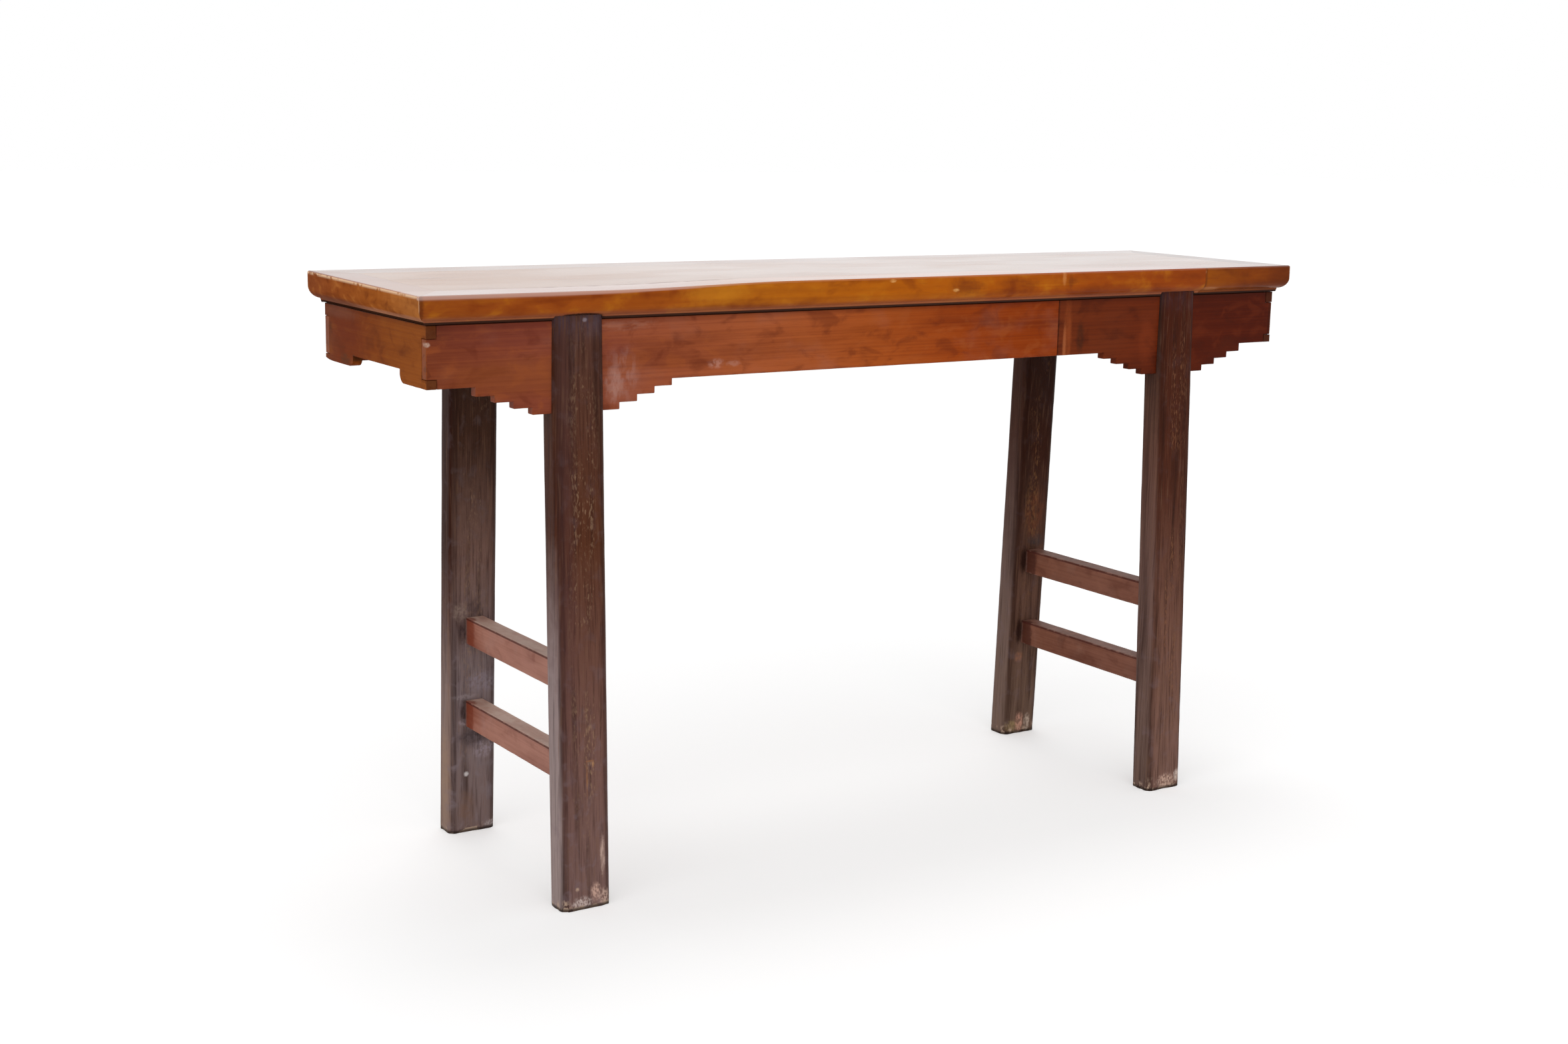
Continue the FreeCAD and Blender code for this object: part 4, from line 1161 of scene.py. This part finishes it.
backLeftLook = {
    **darkLeg, "seed": 26.2, "dust": 0.62, "dustColour": (134, 118, 122), "rubbed": 0.3, "rim": 0.3,
    "front": [
        (0.0, (130, 108, 104)), (0.22, (136, 120, 120)), (0.42, (124, 94, 84)), (0.60, (76, 50, 38)),
        (0.82, (56, 36, 28)),
    ],
    "side": [
        (0.0, (146, 120, 108)), (0.22, (138, 114, 106)), (0.36, (88, 60, 52)), (0.45, (58, 26, 14)),
        (0.82, (44, 18, 11)),
    ],
    "marks": [
        oval((-0.5446, 0.16, 0.0926), (0.0034, 0.02, 0.0034), 1.0, (206, 198, 196)),
        oval((-0.531, 0.159, 0.15), (0.024, 0.02, 0.014), 0.7, (54, 42, 44), 0.4, (120, 120, 120)),
        oval((-0.516, 0.159, 0.128), (0.014, 0.02, 0.012), 0.6, (172, 156, 164), 0.8, (260, 260, 160)),
        oval((-0.55, 0.158, 0.174), (0.008, 0.02, 0.005), 0.6, (168, 152, 156), 0.7, (260, 260, 200)),
        oval((-0.549, 0.158, 0.192), (0.006, 0.02, 0.016), 0.7, (48, 30, 28), 0.4, (160, 160, 100)),
        oval((-0.545, 0.158, 0.214), (0.018, 0.02, 0.004), 0.6, (160, 146, 148), 0.7, (260, 260, 260)),
        oval((-0.52, 0.158, 0.235), (0.022, 0.02, 0.016), 0.5, (150, 138, 148), 0.8, (260, 260, 200)),
        oval((-0.551, 0.156, 0.318), (0.006, 0.02, 0.018), 0.7, (50, 34, 36), 0.4, (160, 160, 100)),
        oval((-0.555, 0.156, 0.345), (0.01, 0.02, 0.014), 0.5, (164, 142, 128), 0.8, (260, 260, 160)),
        oval((-0.535, 0.156, 0.352), (0.012, 0.02, 0.01), 0.5, (52, 40, 44), 0.6, (160, 160, 100)),
        oval((-0.543, 0.162, 0.036), (0.012, 0.02, 0.026), 0.5, (126, 92, 72), 0.5),
        oval((-0.571, 0.18, 0.09), (0.01, 0.012, 0.07), 0.6, (158, 128, 106), 0.3),
        oval((-0.503, 0.163, 0.008), (0.01, 0.02, 0.005), 0.7, (190, 176, 174), 0.8, (420, 420, 260)),
    ],
}
backRightLook = {
    **darkLeg, "seed": 29.4, "dust": 0.2, "rubbed": 0.4, "bare": (150, 104, 66), "slim": (0.0, 0.0036),
    "front": [(0.0, (116, 92, 78)), (0.25, (108, 76, 62)), (0.50, (62, 30, 18)), (0.82, (42, 22, 15))],
    "side": [(0.0, (130, 106, 94)), (0.30, (120, 96, 88)), (0.55, (78, 48, 38)), (0.82, (52, 28, 18))],
    "marks": [
        oval((0.528, 0.163, 0.019), (0.008, 0.02, 0.017), 0.9, (214, 160, 138), 0.7, (420, 420, 160)),
        oval((0.546, 0.163, 0.018), (0.006, 0.02, 0.014), 0.8, (210, 186, 168), 0.8, (420, 420, 160)),
        oval((0.513, 0.163, 0.014), (0.012, 0.02, 0.01), 0.7, (166, 140, 98), 0.7, (420, 420, 160)),
        oval((0.518, 0.16, 0.142), (0.008, 0.02, 0.008), 0.5, (168, 112, 80), 0.6, (260, 260, 160)),
        oval((0.515, 0.158, 0.19), (0.006, 0.02, 0.02), 0.8, (44, 24, 20)),
        oval((0.515, 0.156, 0.318), (0.006, 0.02, 0.022), 0.8, (44, 24, 20)),
        oval((0.54, 0.156, 0.352), (0.016, 0.02, 0.01), 0.5, (64, 62, 66), 0.5, (160, 160, 100)),
        oval((0.535, 0.154, 0.4), (0.02, 0.02, 0.04), 0.35, (130, 72, 44), 0.8, (160, 160, 60)),
    ],
}
legLooks = {
    "front_left_leg": frontLeftLook,
    "front_right_leg": frontRightLook,
    "back_left_leg": backLeftLook,
    "back_right_leg": backRightLook,
}


def makeLegs():
    shape = legTree()
    for node, look in legLooks.items():
        side = "left" if "left" in node else "right"
        apron = "back_apron" if "back" in node else "front_apron_left_board"
        rails = (side + "_lower_stretcher", side + "_upper_stretcher")
        makeLeg(node, look, shape, apron, rails)


makeLegs()
print("legs made")


# Stretchers


stretcherLook = {
    **stainBase, "along": 1, "heart": (-0.5, 0, 0.15), "ringStep": 0.005, "wave": 0.012,
    "patch": 30, "lines": 330, "wander": 0.1,
    "streak": (120, 66, 54), "glow": (184, 130, 114), "rubbed": (186, 140, 124),
    "dust": 0.4, "dustColour": (168, 132, 124), "roughness": 0.45,
    "stretches": [(-0.18, (178, 126, 110)), (0.08, (172, 118, 100)), (0.16, (146, 80, 58))],
}

stretcherWear = {"bevel": 0.0014, "depth": 0.0003, "size": 0.06, "jointMarkInset": 0.024}


def makeStretchers():
    form = stretcherWear
    for index, side in enumerate(("left", "right")):
        for level in ("lower", "upper"):
            node = side + "_" + level + "_stretcher"
            low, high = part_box(node)
            look = dict(stretcherLook, seed=31.0 + index * 2.4 + low.z)
            far, middle = high.y - form["jointMarkInset"], (low.z + high.z) / 2
            # bare is the colour beside the leg's joint: darker red on the left, and on the right a
            # near-black painted shadow
            bare, topTone, mask = (122, 54, 34), (210, 186, 172), 0.8
            if side == "right":
                bare, topTone, mask = (72, 36, 28), (150, 124, 114), 0.5
                look.update({
                    "streak": (92, 46, 32), "glow": (158, 104, 82),
                    "dust": 0.25, "dustColour": (150, 116, 102),
                    "stretches": [(-0.18, (140, 92, 76)), (0.16, (130, 80, 60))],
                })
            look["marks"] = [
                slab((low.x - 0.01, -0.2, high.z - 0.0012), (high.x + 0.01, 0.2, high.z + 0.01),
                     (0.001, 0.01, 0.0006), mask, topTone, 0.4, (40, 20, 40)),
                # darker beside the leg it enters, a painted shadow on the right side
                oval((low.x, far - 0.016, middle), (0.01, 0.013, 0.05), 0.75, bare, edge=0.3),
                oval((low.x, far, middle), (0.03, 0.005, 0.05), 0.6, (120, 96, 90), 0.4, (200, 200, 120)),
                slab((low.x - 0.01, -0.2, high.z - 0.0036), (low.x + 0.005, 0.2, high.z - 0.0008),
                     (0.001, 0.01, 0.0006), 0.85, (78, 36, 30)),
            ]
            cuts = {1: steps(low.y, high.y, 0.012), 2: steps(low.z + 0.004, high.z - 0.004, 0.009)}
            material = stain("stained_" + node, look)
            wear = (form["depth"], form["size"], 30.0 + index)
            wearPiece(node, material, "red_stretcher", form["bevel"], cuts, wear)


makeStretchers()
print("stretchers made")


# Floor, lights and camera


studio = {
    "floorSize": 60.0,
    "floorShade": 0.80,
    "floorGlow": 0.382,
    "skyStrength": 0.55,
    "keyFrom": (0.10, 0.25, 0.85),
    "keySpread": 22,
    "keyPower": 0.44,
    "fillFrom": (-0.55, -0.65, 0.52),
    "fillSpread": 80,
    "fillPower": 1.0,
}


def makeFloor():
    data = blockMesh("floor", [((-1, -1, -0.02), (1, 1, 0))])
    data.transform(Matrix.Diagonal((studio["floorSize"] / 2, studio["floorSize"] / 2, 1, 1)))
    floor = bpy.data.objects.new("studio_floor", data)
    bpy.context.scene.collection.objects.link(floor)
    finish = Finish("whiteFloor")
    shade = studio["floorShade"]
    matt = finish.add("ShaderNodeBsdfDiffuse", inputs={"Color": (shade, shade, shade, 1)})
    glow = finish.add("ShaderNodeEmission", inputs={"Strength": finish.seen() * studio["floorGlow"]})
    data.materials.append(finish.output(finish.add("ShaderNodeAddShader", inputs={0: matt, 1: glow})))


def makeWorld():
    world = bpy.data.worlds.new("studio")
    bpy.context.scene.world = world
    finish = Finish("studio", world)
    white = (1, 1, 1, 1)
    sky = finish.add("ShaderNodeBackground", inputs={"Color": white, "Strength": studio["skyStrength"]})
    shown = finish.add("ShaderNodeBackground", inputs={"Color": white})
    both = finish.add("ShaderNodeMixShader", inputs={0: finish.seen(), 1: sky, 2: shown})
    finish.output(both, "ShaderNodeOutputWorld")


def makeSun(name, origin, spread, power):
    lamp = bpy.data.lights.new(name, "SUN")
    lamp.energy = power
    lamp.angle = math.radians(spread)
    item = bpy.data.objects.new(name, lamp)
    item.rotation_euler = Vector(origin).to_track_quat("Z", "Y").to_euler()
    bpy.context.scene.collection.objects.link(item)


cameraPlan = {
    "place": (-1.835, -2.663, 1.080),
    "turn": 0.5807,
    "dip": 0.1905,
    "roll": 0.020,
    "focalPixels": 3195,
    "imageWidth": 2354,
    "sensor": 36.0,
}


def makeCamera():
    plan = cameraPlan
    turn, dip, roll = plan["turn"], plan["dip"], plan["roll"]
    ahead = Vector((math.sin(turn) * math.cos(dip), math.cos(turn) * math.cos(dip), -math.sin(dip)))
    right = Vector((math.cos(turn), -math.sin(turn), 0))
    up = right.cross(ahead)
    tiltedRight = right * math.cos(roll) + up * math.sin(roll)
    tiltedUp = up * math.cos(roll) - right * math.sin(roll)
    data = bpy.data.cameras.new("view")
    data.sensor_width = plan["sensor"]
    data.lens = plan["focalPixels"] / plan["imageWidth"] * plan["sensor"]
    camera = bpy.data.objects.new("view", data)
    turned = Matrix((tiltedRight, tiltedUp, -ahead)).transposed()
    camera.matrix_world = Matrix.Translation(plan["place"]) @ turned.to_4x4()
    bpy.context.scene.collection.objects.link(camera)
    bpy.context.scene.camera = camera


makeFloor()
makeWorld()
makeSun("key", studio["keyFrom"], studio["keySpread"], studio["keyPower"])
makeSun("fill", studio["fillFrom"], studio["fillSpread"], studio["fillPower"])
makeCamera()
bpy.context.scene.view_settings.view_transform = "Standard"
print("studio made")
